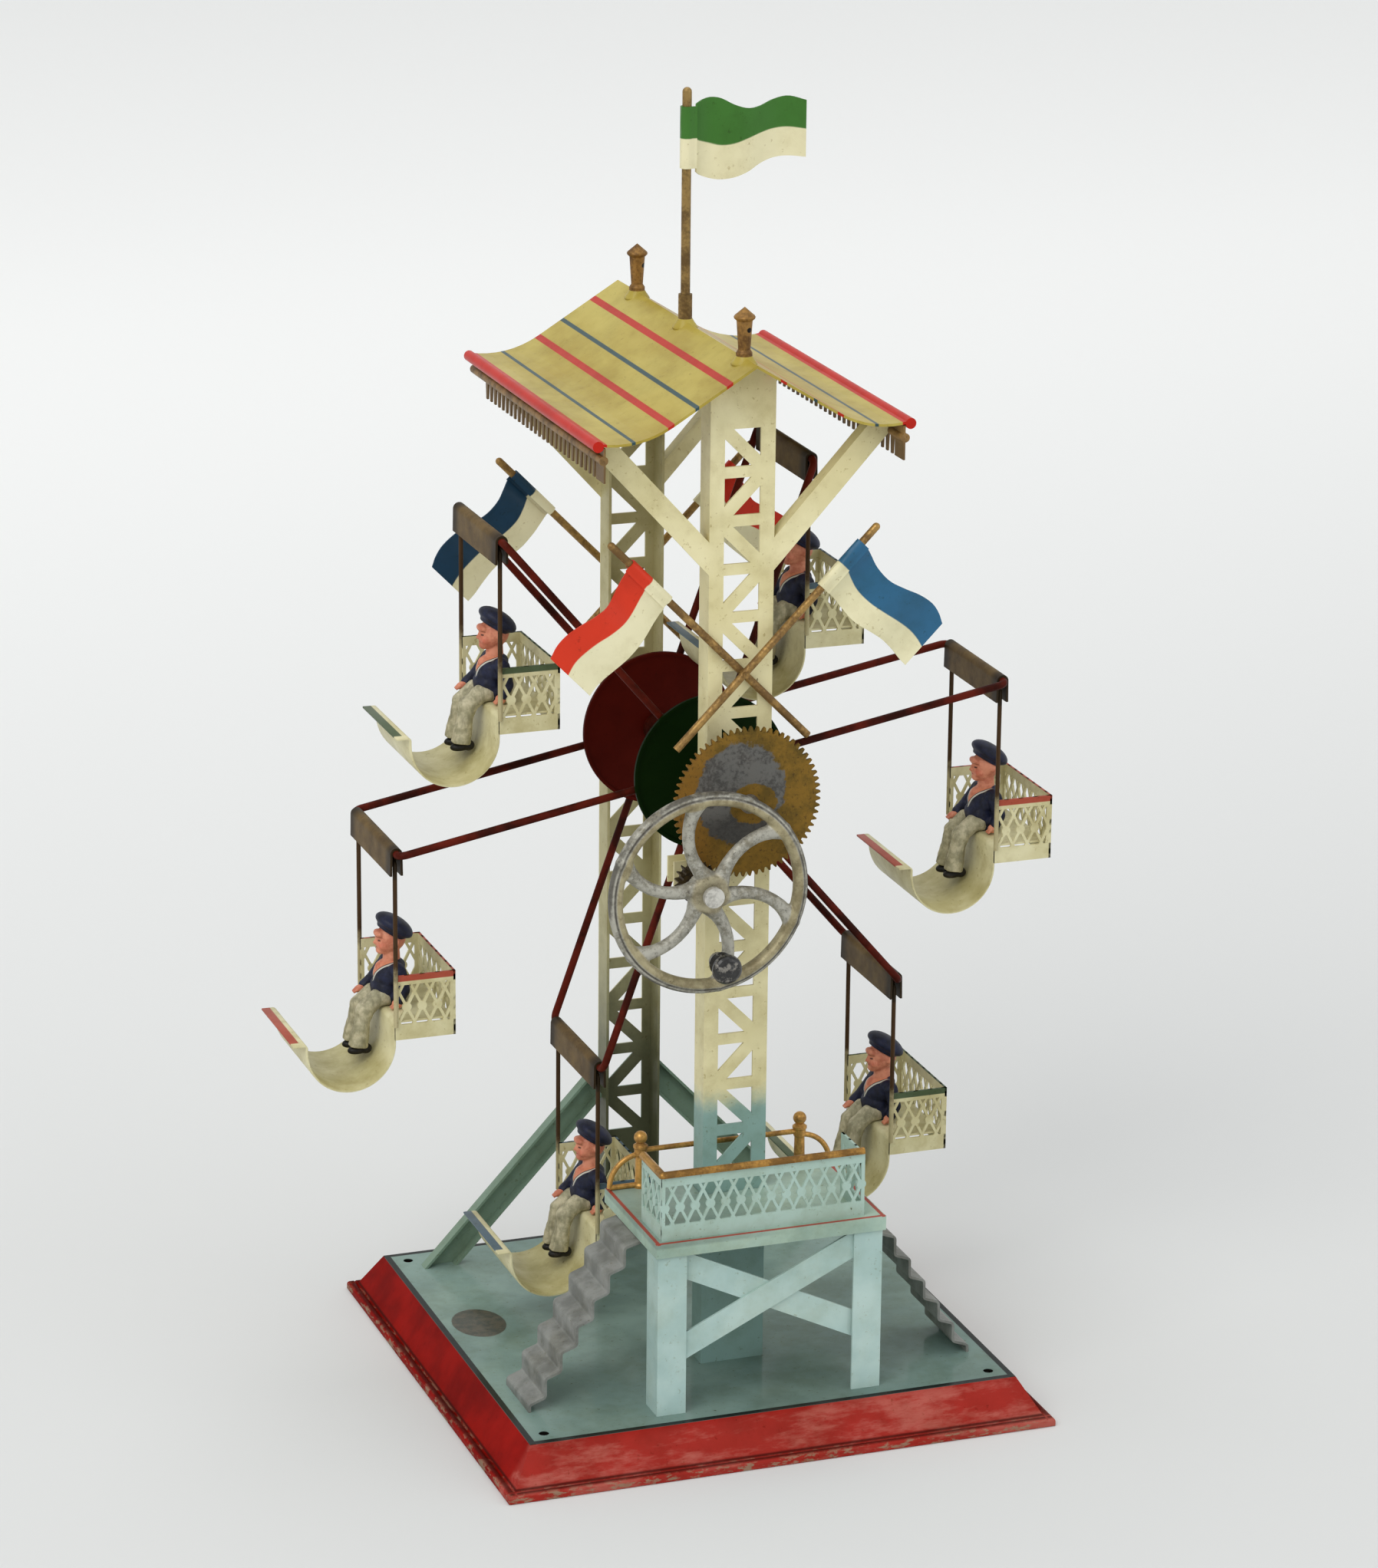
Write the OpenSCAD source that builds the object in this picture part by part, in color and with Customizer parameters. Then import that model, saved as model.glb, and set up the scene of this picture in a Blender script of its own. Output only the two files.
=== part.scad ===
// Hand-cranked tin swing ride: a wheel of six hanging gondolas between two lattice towers.
// The origin is at the middle of the base's underside, +Z is up and the platform faces -Y.
// Units are millimetres.

/* [Base] */
// Width of the base along its front, at the rim
base_w = 180; // [170:1:230]
// Depth of the base from front to back, at the rim
base_d = 176; // [172:1:230]
// Height of the base's top plate above the ground
base_h = 14.2; // [10:0.2:24]
// How far the sloping skirt leans in from the rim to the top plate
skirt_lean = 9.9; // [6:0.1:12]
// Thickness of the tinned sheet of the base
base_sheet = 1; // [0.6:0.1:1.6]
// Radius of the bead rolled round the rim
bead_r = 1.4; // [1:0.1:2]
// Bore of the four corner screw holes
screw_bore = 3.2; // [2:0.1:4]
// Distance of each screw hole from the two nearest edges of the top plate
screw_inset = 6.5; // [4:0.5:9]

/* [Towers] */
// Place of the wheel's middle plane behind the middle of the base
wheel_y = 14.6; // [12:0.2:17]
// Width of the front tower's lattice web
tower_w = 20.8; // [19:0.2:25]
// Width of the rear tower's lattice web
rear_tower_w = 18.6; // [17:0.2:22]
// Depth of the flanges folded back from the web
tower_flange = 8.4; // [7:0.1:10]
// Thickness of the towers' sheet
tower_sheet = 0.8; // [0.5:0.1:1.2]
// Distance from the wheel's middle plane to each tower's outer face
tower_reach = 52.2; // [51:0.2:54]
// Height from one lattice cell to the next
cell_pitch = 15.05; // [14:0.05:18]
// Width of the window in each cell
window_w = 11.5; // [9:0.1:13]
// Height of the cross bar between two windows
cell_bar = 3.5; // [2.5:0.1:5]
// How far each diagonal's edges stay from the window's corners
diagonal_cut = 2.85; // [2:0.05:4]
// Height of the front tower's lowest lattice cell above the base
lattice_foot = 64.8; // [58:0.2:70]
// Height of the rear tower's lowest lattice cell above the base
rear_lattice_foot = 39.8; // [26:0.2:46]

/* [Roof] */
// Height of the ridge above the ground
ridge_z = 338; // [334:1:356]
// Length of the roof from front to back
roof_l = 126.6; // [118:0.2:140]
// Slope of the roof's straight part in degrees
roof_slope = 31.5; // [28:0.5:34]
// Distance from the ridge to the start of the upswept eave
slope_run = 26.5; // [22:0.5:30]
// Radius of the upsweep toward the eave
eave_r = 31.5; // [28:0.5:36]
// How far the upsweep passes the roof's lowest line, in degrees
eave_turn = 12; // [6:1:16]
// Thickness of the roof's sheet
roof_sheet = 0.8; // [0.5:0.1:1.2]
// Radius of the roll along each eave
eave_roll_r = 1.7; // [1.2:0.1:2.2]
// Radius of the roll at the top of each fringe
fringe_roll_r = 1.4; // [1:0.1:1.8]
// Height of the fringe strip above its teeth
fringe_strip_h = 5.2; // [4:0.1:7]
// Length of the fringe's teeth
fringe_tooth_l = 5.4; // [3:0.1:8]
// Spacing of the fringe's teeth
fringe_pitch = 4; // [3:0.1:6]
// Width of the braces that carry the eaves
eave_brace_w = 6.9; // [5:0.1:8]
// Height at which the braces leave the towers
eave_brace_z = 271.6; // [268:0.2:275]
// Slope of the braces in degrees
eave_brace_slope = 47.7; // [46:0.1:49]

/* [Roof ornaments and flags] */
// Largest width of the lanterns on the ridge
lantern_w = 6.6; // [5:0.2:9]
// Height of the lanterns above the ridge
lantern_h = 15.4; // [12:0.2:20]
// Distance of the front lantern from the roof's front edge
lantern_front = 11.2; // [8:0.2:16]
// Distance of the rear lantern from the roof's rear edge
lantern_rear = 18.5; // [8:0.2:24]
// Width of the flagpole
pole_d = 2.9; // [2:0.1:3.6]
// Height of the flagpole's tip above the ridge
pole_rise = 72.2; // [60:0.2:90]
// Height of the socket that holds the flagpole
socket_h = 8.5; // [6:0.5:12]
// Height of the top flag
top_flag_h = 19; // [14:0.5:26]
// Length of the top flag
top_flag_l = 39; // [28:1:50]
// Width of the crossed poles on the towers
side_pole_d = 2.4; // [1.8:0.1:3]
// Length of the crossed poles
side_pole_l = 92; // [84:1:96]
// Length of each crossed pole below the crossing
side_pole_tail = 31; // [26:1:32]
// Height of the crossing above the ground
crossing_z = 241; // [238:1:246]
// Slope of the crossed poles in degrees
side_pole_slope = 45.5; // [42:0.5:48]
// Width of the crossed flags along their poles
side_flag_w = 19; // [14:0.5:20]
// Length of the crossed flags
side_flag_l = 38; // [30:1:40]
// Thickness of the flags' tin
flag_sheet = 0.6; // [0.4:0.1:0.8]
// Height of the flags' waves to each side
flag_wave = 1.8; // [0.5:0.1:2.4]

/* [Platform] */
// Width of the platform
deck_w = 75.3; // [74:0.5:82]
// Distance of the platform's front edge behind the base's front rim
deck_inset = 16; // [13:0.5:18]
// Distance from the base's middle to the platform's rear edge
deck_rear = 23; // [20:0.5:24]
// Height of the platform's floor above the ground
deck_z = 71.5; // [68:0.5:80]
// Height of the rim folded down round the platform
deck_rim = 4.6; // [3:0.1:6]
// Thickness of the platform's sheet
deck_sheet = 0.8; // [0.5:0.1:1.2]
// Width of the front face of each leg
leg_w = 9.4; // [7:0.2:12]
// Depth of the side face of each leg
leg_d = 10; // [7:0.5:12]
// Width of the flat braces crossed between the legs
leg_brace_w = 8; // [5:0.5:10]
// Height of the crossing of those braces above the ground
leg_brace_z = 49.5; // [47:0.5:51]
// Height that each of those braces climbs between the legs
leg_brace_rise = 34; // [26:1:36]
// Length of the railing along the platform's front
railing_l = 66.4; // [60:0.2:70]
// Length of the railing's two returns
railing_return = 18; // [12:0.5:22]
// Height of the railing
railing_h = 20.8; // [16:0.2:26]
// Distance of the railing behind the platform's front edge
railing_inset = 2.4; // [2:0.1:4]
// Columns in the railing's front
railing_cols = 14; // [10:1:18]
// Height of the railing's plain foot band
railing_foot = 5.6; // [3:0.1:7]
// Width of the brass cap rail
cap_w = 2.6; // [2:0.1:3.4]
// Distance from the platform's middle to each brass post
post_x = 26.6; // [24:0.2:28]
// Height of the brass posts to the middle of their balls
post_h = 16.6; // [14:0.2:22]
// Width of the brass posts
post_d = 3.6; // [2.4:0.1:4.2]
// Width of the balls on the brass posts
ball_d = 4.2; // [3.6:0.1:5.4]
// Width of the brass rods
rod_d = 1.7; // [1.2:0.1:2]
// Number of steps in each flight of stairs
stair_steps = 7; // [5:1:9]
// Distance from the base's middle to the foot of each flight
stair_foot_x = 73.4; // [66:0.2:76]
// Width of the flights
stair_w = 22.6; // [16:0.2:26]
// Distance of the flights' front edge behind the platform's front edge
stair_inset = 16; // [13:0.5:18]
// Slope of the treads in degrees
tread_slope = 20; // [0:1:24]
// Thickness of the flights' sheet
stair_sheet = 0.8; // [0.5:0.1:1.2]

/* [Wheel] */
// Height of the wheel's axle above the ground
axle_z = 201.5; // [199:0.5:204]
// Width of the axle
axle_d = 4.4; // [3.6:0.2:5]
// Distance from the axle to the rods that carry the gondolas
arm_r = 101.6; // [98:0.2:103]
// Turn of the wheel at rest, in degrees
wheel_phase = 10.5; // [0:0.5:60]
// Width of the arms' round bars
arm_d = 2.4; // [1.8:0.1:2.6]
// Distance from the wheel's middle plane to each side's bars
arm_reach = 24.6; // [24.2:0.1:26]
// Distance from the axle to the inner ends of the bars
arm_start = 8; // [6:0.2:12]
// Inside radius of the bend at each arm's corners
arm_bend = 1.4; // [1.2:0.1:3]
// Radius of the two hub discs
disc_r = 24.9; // [22:0.1:26]
// Thickness of the hub discs
disc_sheet = 1; // [0.6:0.1:1.4]
// Width of the rim curled round each hub disc
disc_rim = 1.6; // [1:0.1:2.2]

/* [Drive] */
// Teeth on the drive gear
gear_teeth = 68; // [60:1:72]
// Teeth on the crank's pinion
pinion_teeth = 17; // [15:1:19]
// Size of the teeth: pitch diameter over number of teeth
gear_module = 0.68; // [0.66:0.01:0.7]
// Thickness of the drive gear
gear_t = 1.2; // [0.8:0.1:2]
// Gap between the front tower and the drive gear
gear_gap = 6.6; // [6.2:0.1:7]
// Length of the pinion
pinion_t = 4; // [3:0.2:5]
// Distance of the crank's shaft to the left of the axle
crank_x = 16.3; // [15.6:0.1:18]
// Width of the crank's shaft
crank_d = 3; // [2.4:0.1:3.4]
// Outer radius of the handwheel
handwheel_r = 32; // [28:0.5:34]
// Width of the handwheel's rim tube
rim_d = 4.3; // [3.4:0.1:5]
// Width of the handwheel's spokes
spoke_d = 4; // [3:0.1:4.2]
// How far each spoke bows out to the side
spoke_bow = 4.6; // [2:0.1:6]
// Radius of the handwheel's hub
handwheel_hub_r = 6.8; // [5:0.1:8]
// Gap between the drive gear and the handwheel's hub
handwheel_gap = 8; // [7:0.5:10]
// Turn of the first spoke at rest, in degrees
handwheel_phase = 36.5; // [0:0.5:60]
// Distance from the crank's shaft to the knob's pin
knob_reach = 22; // [20:0.5:24]
// Direction of the knob's pin from the crank's shaft at rest, in degrees
knob_angle = 277.5; // [270:0.5:285]
// Width of the knob
knob_d = 9.4; // [7:0.2:11]
// Length of the knob
knob_l = 9.6; // [8:0.2:13]
// Width of the knob's pin
knob_pin_d = 2; // [1.6:0.1:2.6]

/* [Gondolas] */
// Width of the gondolas from front to back of the ride
car_w = 41; // [36:0.5:43]
// Length of the pierced guard from its open end to its back
guard_l = 19.5; // [17:0.5:22]
// Height of the guard
guard_h = 21; // [19:0.5:24]
// Distance from the hanging rod down to the guard's top edge
guard_drop = 40.5; // [36:0.5:42]
// Thickness of the guard's sheet
guard_sheet = 0.7; // [0.5:0.1:1]
// Columns in each side of the guard
guard_side_cols = 4; // [3:1:6]
// Columns in the back of the guard
guard_back_cols = 9; // [7:1:11]
// Height of the guard's plain foot band
guard_foot = 4.6; // [3:0.1:6]
// Height of the guard's plain top band
guard_top = 3.4; // [2:0.1:5]
// Distance from the hanging rod down to the seat's top
seat_drop = 55.5; // [54:0.1:57]
// Thickness of the seat's bent strip
seat_sheet = 0.8; // [0.5:0.1:1.1]
// Outer radius of the foot trough
trough_r = 14.4; // [13:0.1:15]
// Height of the wall between the seat and the trough's round
seat_wall = 7.3; // [6:0.1:9]
// Length of the flared lip on the trough's free edge
lip_l = 5.2; // [3:0.2:7]
// Lean of that lip in degrees
lip_lean = 55; // [10:1:65]
// Height of the cap folded over the hanging rod
cap_h = 7; // [5.8:0.1:10]
// Thickness of the cap's sheet
cap_sheet = 0.7; // [0.5:0.1:1]
// Spread of the cap's two sides in degrees
cap_spread = 1; // [0:0.5:8]
// Width of the wire that carries each seat
bail_d = 1.4; // [1.2:0.1:1.8]
// Height of each seated figure from soles to beret
figure_h = 44.6; // [42:0.2:45.4]

/* [Fits] */
// Gap all round a shaft in its bearing
run_gap = 0.05; // [0.02:0.01:0.1]
// Gap round pieces that pass through a cut-out
pass_gap = 0.3; // [0.2:0.05:0.5]
// Gap at the roof's curved underside
seat_gap = 0.1; // [0.05:0.05:0.3]

/* [Hidden] */
$fn = 48;

// Length that a cut runs past the faces it opens
past = 1;

// Top plate of the base
top_w = base_w - 2 * skirt_lean;
top_d = base_d - 2 * skirt_lean;

// Outer faces of the two towers
front_y = wheel_y - tower_reach;
rear_y = wheel_y + tower_reach;

// Roof outline: where the upsweep starts, and its centre
bend_z = ridge_z - slope_run * tan(roof_slope);
eave_cx = slope_run + eave_r * sin(roof_slope);
eave_cz = bend_z + eave_r * cos(roof_slope);
eave_x = eave_cx + eave_r * sin(eave_turn);
eave_z = eave_cz - eave_r * cos(eave_turn);
roof_low_z = eave_cz - eave_r;
roof_front = wheel_y - roof_l / 2;
roof_rear = wheel_y + roof_l / 2;

// Fringe plate, inside the eave's roll
fringe_t = 0.6;
fringe_x = eave_x - eave_roll_r - fringe_t;
fringe_top = roof_low_z - roof_sheet - seat_gap;

// Platform
deck_front = base_d / 2 - deck_inset;
leg_x = deck_w / 2 - deck_sheet;
leg_front = -deck_front + deck_sheet;
railing_y = -deck_front + railing_inset;
stair_front = deck_front - stair_inset;
railing_shift = -2;
railing_t = 0.7;
railing_top = deck_z + railing_h;
post_y = -deck_rear - post_d / 2 - 0.4;

// Drive
crank_dist = gear_module * (gear_teeth + pinion_teeth) / 2;
crank_z = axle_z - sqrt(pow(crank_dist, 2) - pow(crank_x, 2));
mesh_angle = atan2(crank_z - axle_z, -crank_x);
gear_y = front_y - gear_gap;
gear_front = gear_y - gear_t;
handwheel_back = gear_front - handwheel_gap;
handwheel_t = 5.4;
handwheel_y = handwheel_back - handwheel_t / 2;
rim_r = handwheel_r - rim_d / 2;
knob_back = handwheel_y - rim_d / 2 - 0.6;

// Wheel
disc_in = arm_reach + arm_d / 2;
disc_out = disc_in + disc_sheet;
rear_disc = arm_reach - arm_d / 2;
bush_r = axle_d / 2 + 1.4;
bush_flange_r = axle_d / 2 + 2.6;
bush_flange_t = 1;
collar_r = axle_d / 2 + 2.6;

// Gondola, measured from its hanging rod; wall_x is the outer face of the wall below the seat
cap_in = arm_d / 2 + run_gap;
cap_l = 2 * (arm_reach - arm_bend - arm_d / 2 - pass_gap);
bail_y = car_w / 2 - bail_d / 2;
bail_z = -cap_in - cap_sheet - bail_d;
wall_x = 0.4;
trough_cx = wall_x - trough_r;
trough_cz = -seat_drop - seat_wall;
seat_w = car_w - 2 * guard_sheet - 2 * bail_d;

// Points along an arc, from angle a to angle b in n steps
function arc(cx, cy, r, a, b, n) =
    [for (i = [0 : n]) let (t = a + (b - a) * i / n) [cx + r * cos(t), cy + r * sin(t)]];

// Half of the roof's outline at a depth below its top face, from ridge to eave
function roof_half(depth) = concat(
    [[0, ridge_z - depth / cos(roof_slope)]],
    arc(eave_cx, eave_cz, eave_r + depth, -90 - roof_slope, -90 + eave_turn, 8));

function mirrored(pts) = [for (i = [len(pts) - 1 : -1 : 0]) [-pts[i][0], pts[i][1]]];

// Straight-sided teeth on a toothed wheel's outline
function tooth_points(n, tip_r, root_r, tip_w, root_w) = [
    for (i = [0 : n - 1], p = [[root_r, -root_w], [tip_r, -tip_w], [tip_r, tip_w], [root_r, root_w]])
    let (t = i * 360 / n + p[1] / p[0] * 90 / PI)
    [p[0] * cos(t), p[0] * sin(t)]];

// Turns a drawing in X and Y into one in X and Z, thick along Y from y0 to y1
module upright(y0, y1) {
    translate([0, y1, 0]) rotate([90, 0, 0]) linear_extrude(y1 - y0) children();
}

// Turns a drawing in X and Y into one in Y and Z, thick along X from x0 to x1
module crosswise(x0, x1) {
    translate([x0, 0, 0]) rotate([90, 0, 90]) linear_extrude(x1 - x0) children();
}

// Round bar from a to b
module bar(a, b, r) {
    d = b - a;
    l = norm(d);
    translate(a) rotate([0, acos(d[2] / l), atan2(d[1], d[0])]) cylinder(r = r, h = l);
}

// Everything under the roof's straight slopes
module under_roof() {
    top = ridge_z - roof_sheet / cos(roof_slope);
    drop = tower_w * tan(roof_slope);
    upright(-base_d, base_d)
        polygon([[-tower_w, 0], [tower_w, 0], [tower_w, top - drop], [0, top], [-tower_w, top - drop]]);
}

// Base

module skirt_outline(w) {
    polygon([[-w / 2 + bead_r, 0], [w / 2 - bead_r, 0], [w / 2 - skirt_lean, base_h],
        [-w / 2 + skirt_lean, base_h]]);
    for (s = [-1, 1]) translate([s * (w / 2 - bead_r), bead_r]) {
        circle(r = bead_r);
        translate([-bead_r, -bead_r]) square([2 * bead_r, bead_r]);
    }
}

module skirt_inside(w) {
    foot = w / 2 - 2 * bead_r - base_sheet;
    top = w / 2 - skirt_lean - 2 * base_sheet;
    polygon([[-foot, -past], [foot, -past], [foot, 2 * bead_r], [top, base_h - base_sheet],
        [-top, base_h - base_sheet], [-foot, 2 * bead_r]]);
}

module base_shell() {
    color("#8ba598") difference() {
        intersection() {
            upright(-base_d / 2, base_d / 2) skirt_outline(base_w);
            crosswise(-base_w / 2, base_w / 2) skirt_outline(base_d);
        }
        intersection() {
            upright(-base_d / 2, base_d / 2) skirt_inside(base_w);
            crosswise(-base_w / 2, base_w / 2) skirt_inside(base_d);
        }
        for (x = [-1, 1], y = [-1, 1])
            translate([x * (top_w / 2 - screw_inset), y * (top_d / 2 - screw_inset), 0])
                cylinder(d = screw_bore, h = base_h + past);
    }
}

// Towers

// Lattice window with one diagonal, rising to the right when flip is false
module cell_window(flip) {
    w = window_w;
    h = cell_pitch - cell_bar;
    c = diagonal_cut;
    translate([-w / 2, 0]) mirror([flip ? 1 : 0, 0]) translate([flip ? -w : 0, 0]) {
        polygon([[0, c], [0, h], [w - c, h]]);
        polygon([[c, 0], [w, 0], [w, h - c]]);
    }
}

// Web of width w with its lowest window at foot above the base; first is 0 where that window's
// diagonal rises to the left and 1 where it rises to the right
module tower_web(w, foot, first) {
    plain_top = 17;
    cells = floor((ridge_z - plain_top - base_h - foot) / cell_pitch);
    difference() {
        translate([-w / 2, base_h]) square([w, ridge_z - base_h]);
        for (i = [0 : cells - 1]) {
            z = base_h + foot + i * cell_pitch;
            if (abs(z + (cell_pitch - cell_bar) / 2 - axle_z) > cell_pitch / 2 + bush_r)
                translate([0, z]) cell_window(i % 2 == first);
        }
        translate([0, axle_z]) circle(r = bush_r);
    }
}

// One tower with its web's outer face on y = 0 and its flanges running to +Y
module tower(w, foot, first) {
    intersection() {
        union() {
            upright(0, tower_sheet) tower_web(w, foot, first);
            for (s = [-1, 1]) translate([s * w / 2 - (s > 0 ? tower_sheet : 0), 0, base_h])
                cube([tower_sheet, tower_flange, ridge_z]);
        }
        under_roof();
    }
}

module front_tower() {
    color("#e8e0b8") translate([0, front_y, 0]) tower(tower_w, lattice_foot, 1);
}

module rear_tower() {
    color("#ded6ac") translate([0, rear_y, 0]) mirror([0, 1, 0])
        tower(rear_tower_w, rear_lattice_foot, 0);
}

// Channel struts that hold the rear tower sideways, down to the base's top plate
strut_w = 8.4;
strut_flange = 4;
strut_top = 79.6;
strut_foot_x = 70.6;

module strut() {
    run = strut_foot_x - rear_tower_w / 2;
    rise = strut_top - base_h;
    slope = atan2(rise, run);
    v = strut_w / cos(slope);
    s = tower_sheet / cos(slope);
    x0 = rear_tower_w / 2;
    x1 = strut_foot_x;
    dx = v / tan(slope);
    ds = s / tan(slope);
    upright(-tower_sheet, 0)
        polygon([[x0, strut_top], [x1, base_h], [x1 - dx, base_h], [x0, strut_top - v]]);
    upright(-strut_flange, 0) {
        polygon([[x0, strut_top], [x1, base_h], [x1 - ds, base_h], [x0, strut_top - s]]);
        polygon([[x0, strut_top - v + s], [x1 - dx + ds, base_h], [x1 - dx, base_h],
            [x0, strut_top - v]]);
    }
}

module tower_struts() {
    color("#7fa096") translate([0, rear_y, 0]) {
        strut();
        mirror([1, 0, 0]) strut();
    }
}

// Roof

module roof_outline(depth) {
    top = roof_half(0);
    low = roof_half(depth);
    polygon(concat(mirrored(top), [for (i = [1 : len(top) - 1]) top[i]],
        [for (i = [len(low) - 1 : -1 : 0]) low[i]],
        [for (i = [1 : len(low) - 1]) [-low[i][0], low[i][1]]]));
}

module roof_panel() {
    color("#b9a955") union() {
        upright(roof_front, roof_rear) roof_outline(roof_sheet);
        for (s = [-1, 1]) translate([s * eave_x, roof_rear, eave_z - eave_roll_r * 0.6])
            rotate([90, 0, 0]) cylinder(r = eave_roll_r, h = roof_l);
    }
}

// Space over the roof's top face, for pieces that sit astride the ridge
module over_ridge(reach) {
    upright(-base_d, base_d)
        polygon([[-reach, ridge_z + reach * 4], [reach, ridge_z + reach * 4],
            [reach, ridge_z - reach * tan(roof_slope)], [0, ridge_z],
            [-reach, ridge_z - reach * tan(roof_slope)]]);
}

module fringe() {
    teeth = floor((roof_l - 8) / fringe_pitch);
    strip_foot = fringe_top - fringe_strip_h;
    translate([fringe_x, 0, 0]) {
        crosswise(0, fringe_t) {
            translate([roof_front, strip_foot]) square([roof_l, fringe_strip_h]);
            translate([roof_front, strip_foot - fringe_tooth_l]) square([7, fringe_tooth_l + past]);
            for (i = [2 : teeth - 1]) translate([roof_front + i * fringe_pitch + 1, strip_foot])
                polygon([[-0.6, 0.1], [1.6, 0.1], [1.1, -fringe_tooth_l], [-0.1, -fringe_tooth_l]]);
        }
        translate([fringe_t, roof_rear, strip_foot + fringe_roll_r]) rotate([90, 0, 0])
            cylinder(r = fringe_roll_r, h = roof_l);
    }
}

module eave_fringes() {
    color("#6e5a37") {
        fringe();
        mirror([1, 0, 0]) fringe();
    }
}

// Flat brace with a folded upper edge, from the tower's side to the eave
brace_fold = 5;
brace_t = 0.8;

module eave_brace(w) {
    t = tan(eave_brace_slope);
    v = eave_brace_w / cos(eave_brace_slope);
    f = brace_t / cos(eave_brace_slope);
    x0 = w / 2;
    x1 = fringe_x - fringe_t;
    z0 = eave_brace_z - (tower_w - w) / 2 * t;
    z1 = roof_low_z - roof_sheet - seat_gap;
    top_x = x0 + (z1 - z0 - v) / t;
    upright(0, brace_t)
        polygon([[x0, z0], [x0, z0 + v], [top_x, z1], [x1, z1], [x1, z0 + (x1 - x0) * t]]);
    upright(0, brace_fold)
        polygon([[x0, z0 + v], [top_x, z1], [top_x + f / t, z1], [x0, z0 + v - f]]);
}

module eave_braces() {
    color("#e6dca8") for (x = [0, 1]) mirror([x, 0, 0]) {
        translate([0, front_y, 0]) eave_brace(tower_w);
        translate([0, rear_y, 0]) mirror([0, 1, 0]) eave_brace(rear_tower_w);
    }
}

// Turned lantern with its foot cut to sit astride the ridge
module lantern() {
    r = lantern_w / 2;
    h = lantern_h;
    translate([0, 0, ridge_z]) rotate_extrude()
        polygon([[0, -r], [r * 0.75, -r], [r * 0.75, h * 0.1], [r * 0.56, h * 0.16],
            [r * 0.74, h * 0.73], [r * 0.95, h * 0.77], [r, h * 0.8], [r * 0.92, h * 0.83], [0, h]]);
}

module roof_lanterns() {
    color("#6e5023") intersection() {
        union() {
            translate([0, roof_front + lantern_front, 0]) lantern();
            translate([0, roof_rear - lantern_rear, 0]) lantern();
        }
        over_ridge(lantern_w);
    }
}

socket_d = pole_d + 1.4;

module flag_socket() {
    color("#be8c46") difference() {
        intersection() {
            translate([0, wheel_y, ridge_z - socket_d]) cylinder(d = socket_d, h = socket_h + socket_d);
            over_ridge(socket_d);
        }
        translate([0, wheel_y, ridge_z + 1]) cylinder(d = pole_d + 2 * run_gap, h = socket_h);
    }
}

module flagpole() {
    color("#be8c46") translate([0, wheel_y, ridge_z + 1]) {
        cylinder(d = pole_d, h = pole_rise - 1 - pole_d / 2);
        translate([0, 0, pole_rise - 1 - pole_d / 2]) sphere(d = pole_d);
    }
}

// Waved tin flag: its pole runs along Z, the flag flies to +X and hangs w high from z = 0
module waved_flag(w, l, pole, beat) {
    n = 20;
    r = pole / 2 + run_gap;
    wave = [for (i = [0 : n]) let (x = r + (l - r) * i / n)
        [x, flag_wave * sin(360 * x / beat) * min(1, i / 4)]];
    edge = 0.9;
    difference() {
        union() {
            cylinder(r = r + flag_sheet, h = w);
            intersection() {
                translate([0, 0, -edge * 2]) linear_extrude(w + edge * 4)
                    polygon(concat([for (p = wave) [p[0], p[1] - flag_sheet / 2]],
                        [for (i = [n : -1 : 0]) [wave[i][0], wave[i][1] + flag_sheet / 2]]));
                upright(-4 * flag_wave, 4 * flag_wave)
                    polygon(concat([for (p = wave) [p[0], edge * sin(360 * p[0] / beat + 150)]],
                        [for (i = [n : -1 : 0])
                            [wave[i][0], w + edge * sin(360 * wave[i][0] / beat + 60)]]));
            }
        }
        translate([0, 0, -past]) cylinder(r = r, h = w + 2 * past);
    }
}

module top_flag() {
    color("#4a7a45") translate([0, wheel_y, ridge_z + pole_rise - pole_d - top_flag_h - 2])
        waved_flag(top_flag_h, top_flag_l, pole_d, 23);
}

// Pair of crossed poles in front of y = 0, with the stud that fixes them
crossing_gap = side_pole_d + 0.1;

module pole_place(side) {
    translate([0, -side_pole_d / 2 - (side > 0 ? crossing_gap : 0), crossing_z])
        rotate([0, side * (90 - side_pole_slope), 0])
            translate([0, 0, -side_pole_tail]) children();
}

module pole_pair() {
    for (s = [-1, 1]) pole_place(s) {
        cylinder(d = side_pole_d, h = side_pole_l - side_pole_d / 2);
        translate([0, 0, side_pole_l - side_pole_d / 2]) sphere(d = side_pole_d);
    }
    translate([0, 0, crossing_z]) rotate([90, 0, 0]) cylinder(r = 1, h = side_pole_d * 2.3);
}

module flag_pair() {
    for (s = [-1, 1]) pole_place(s)
        translate([0, 0, side_pole_l - side_flag_w - 6]) mirror([s > 0 ? 0 : 1, 0, 0])
            waved_flag(side_flag_w, side_flag_l, side_pole_d, 30);
}

module both_towers() {
    translate([0, front_y, 0]) children();
    translate([0, rear_y, 0]) rotate([0, 0, 180]) children();
}

module crossed_poles() {
    color("#be8c46") both_towers() pole_pair();
}

module crossed_flags() {
    color("#d23c1e") both_towers() flag_pair();
}

// Platform

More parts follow.
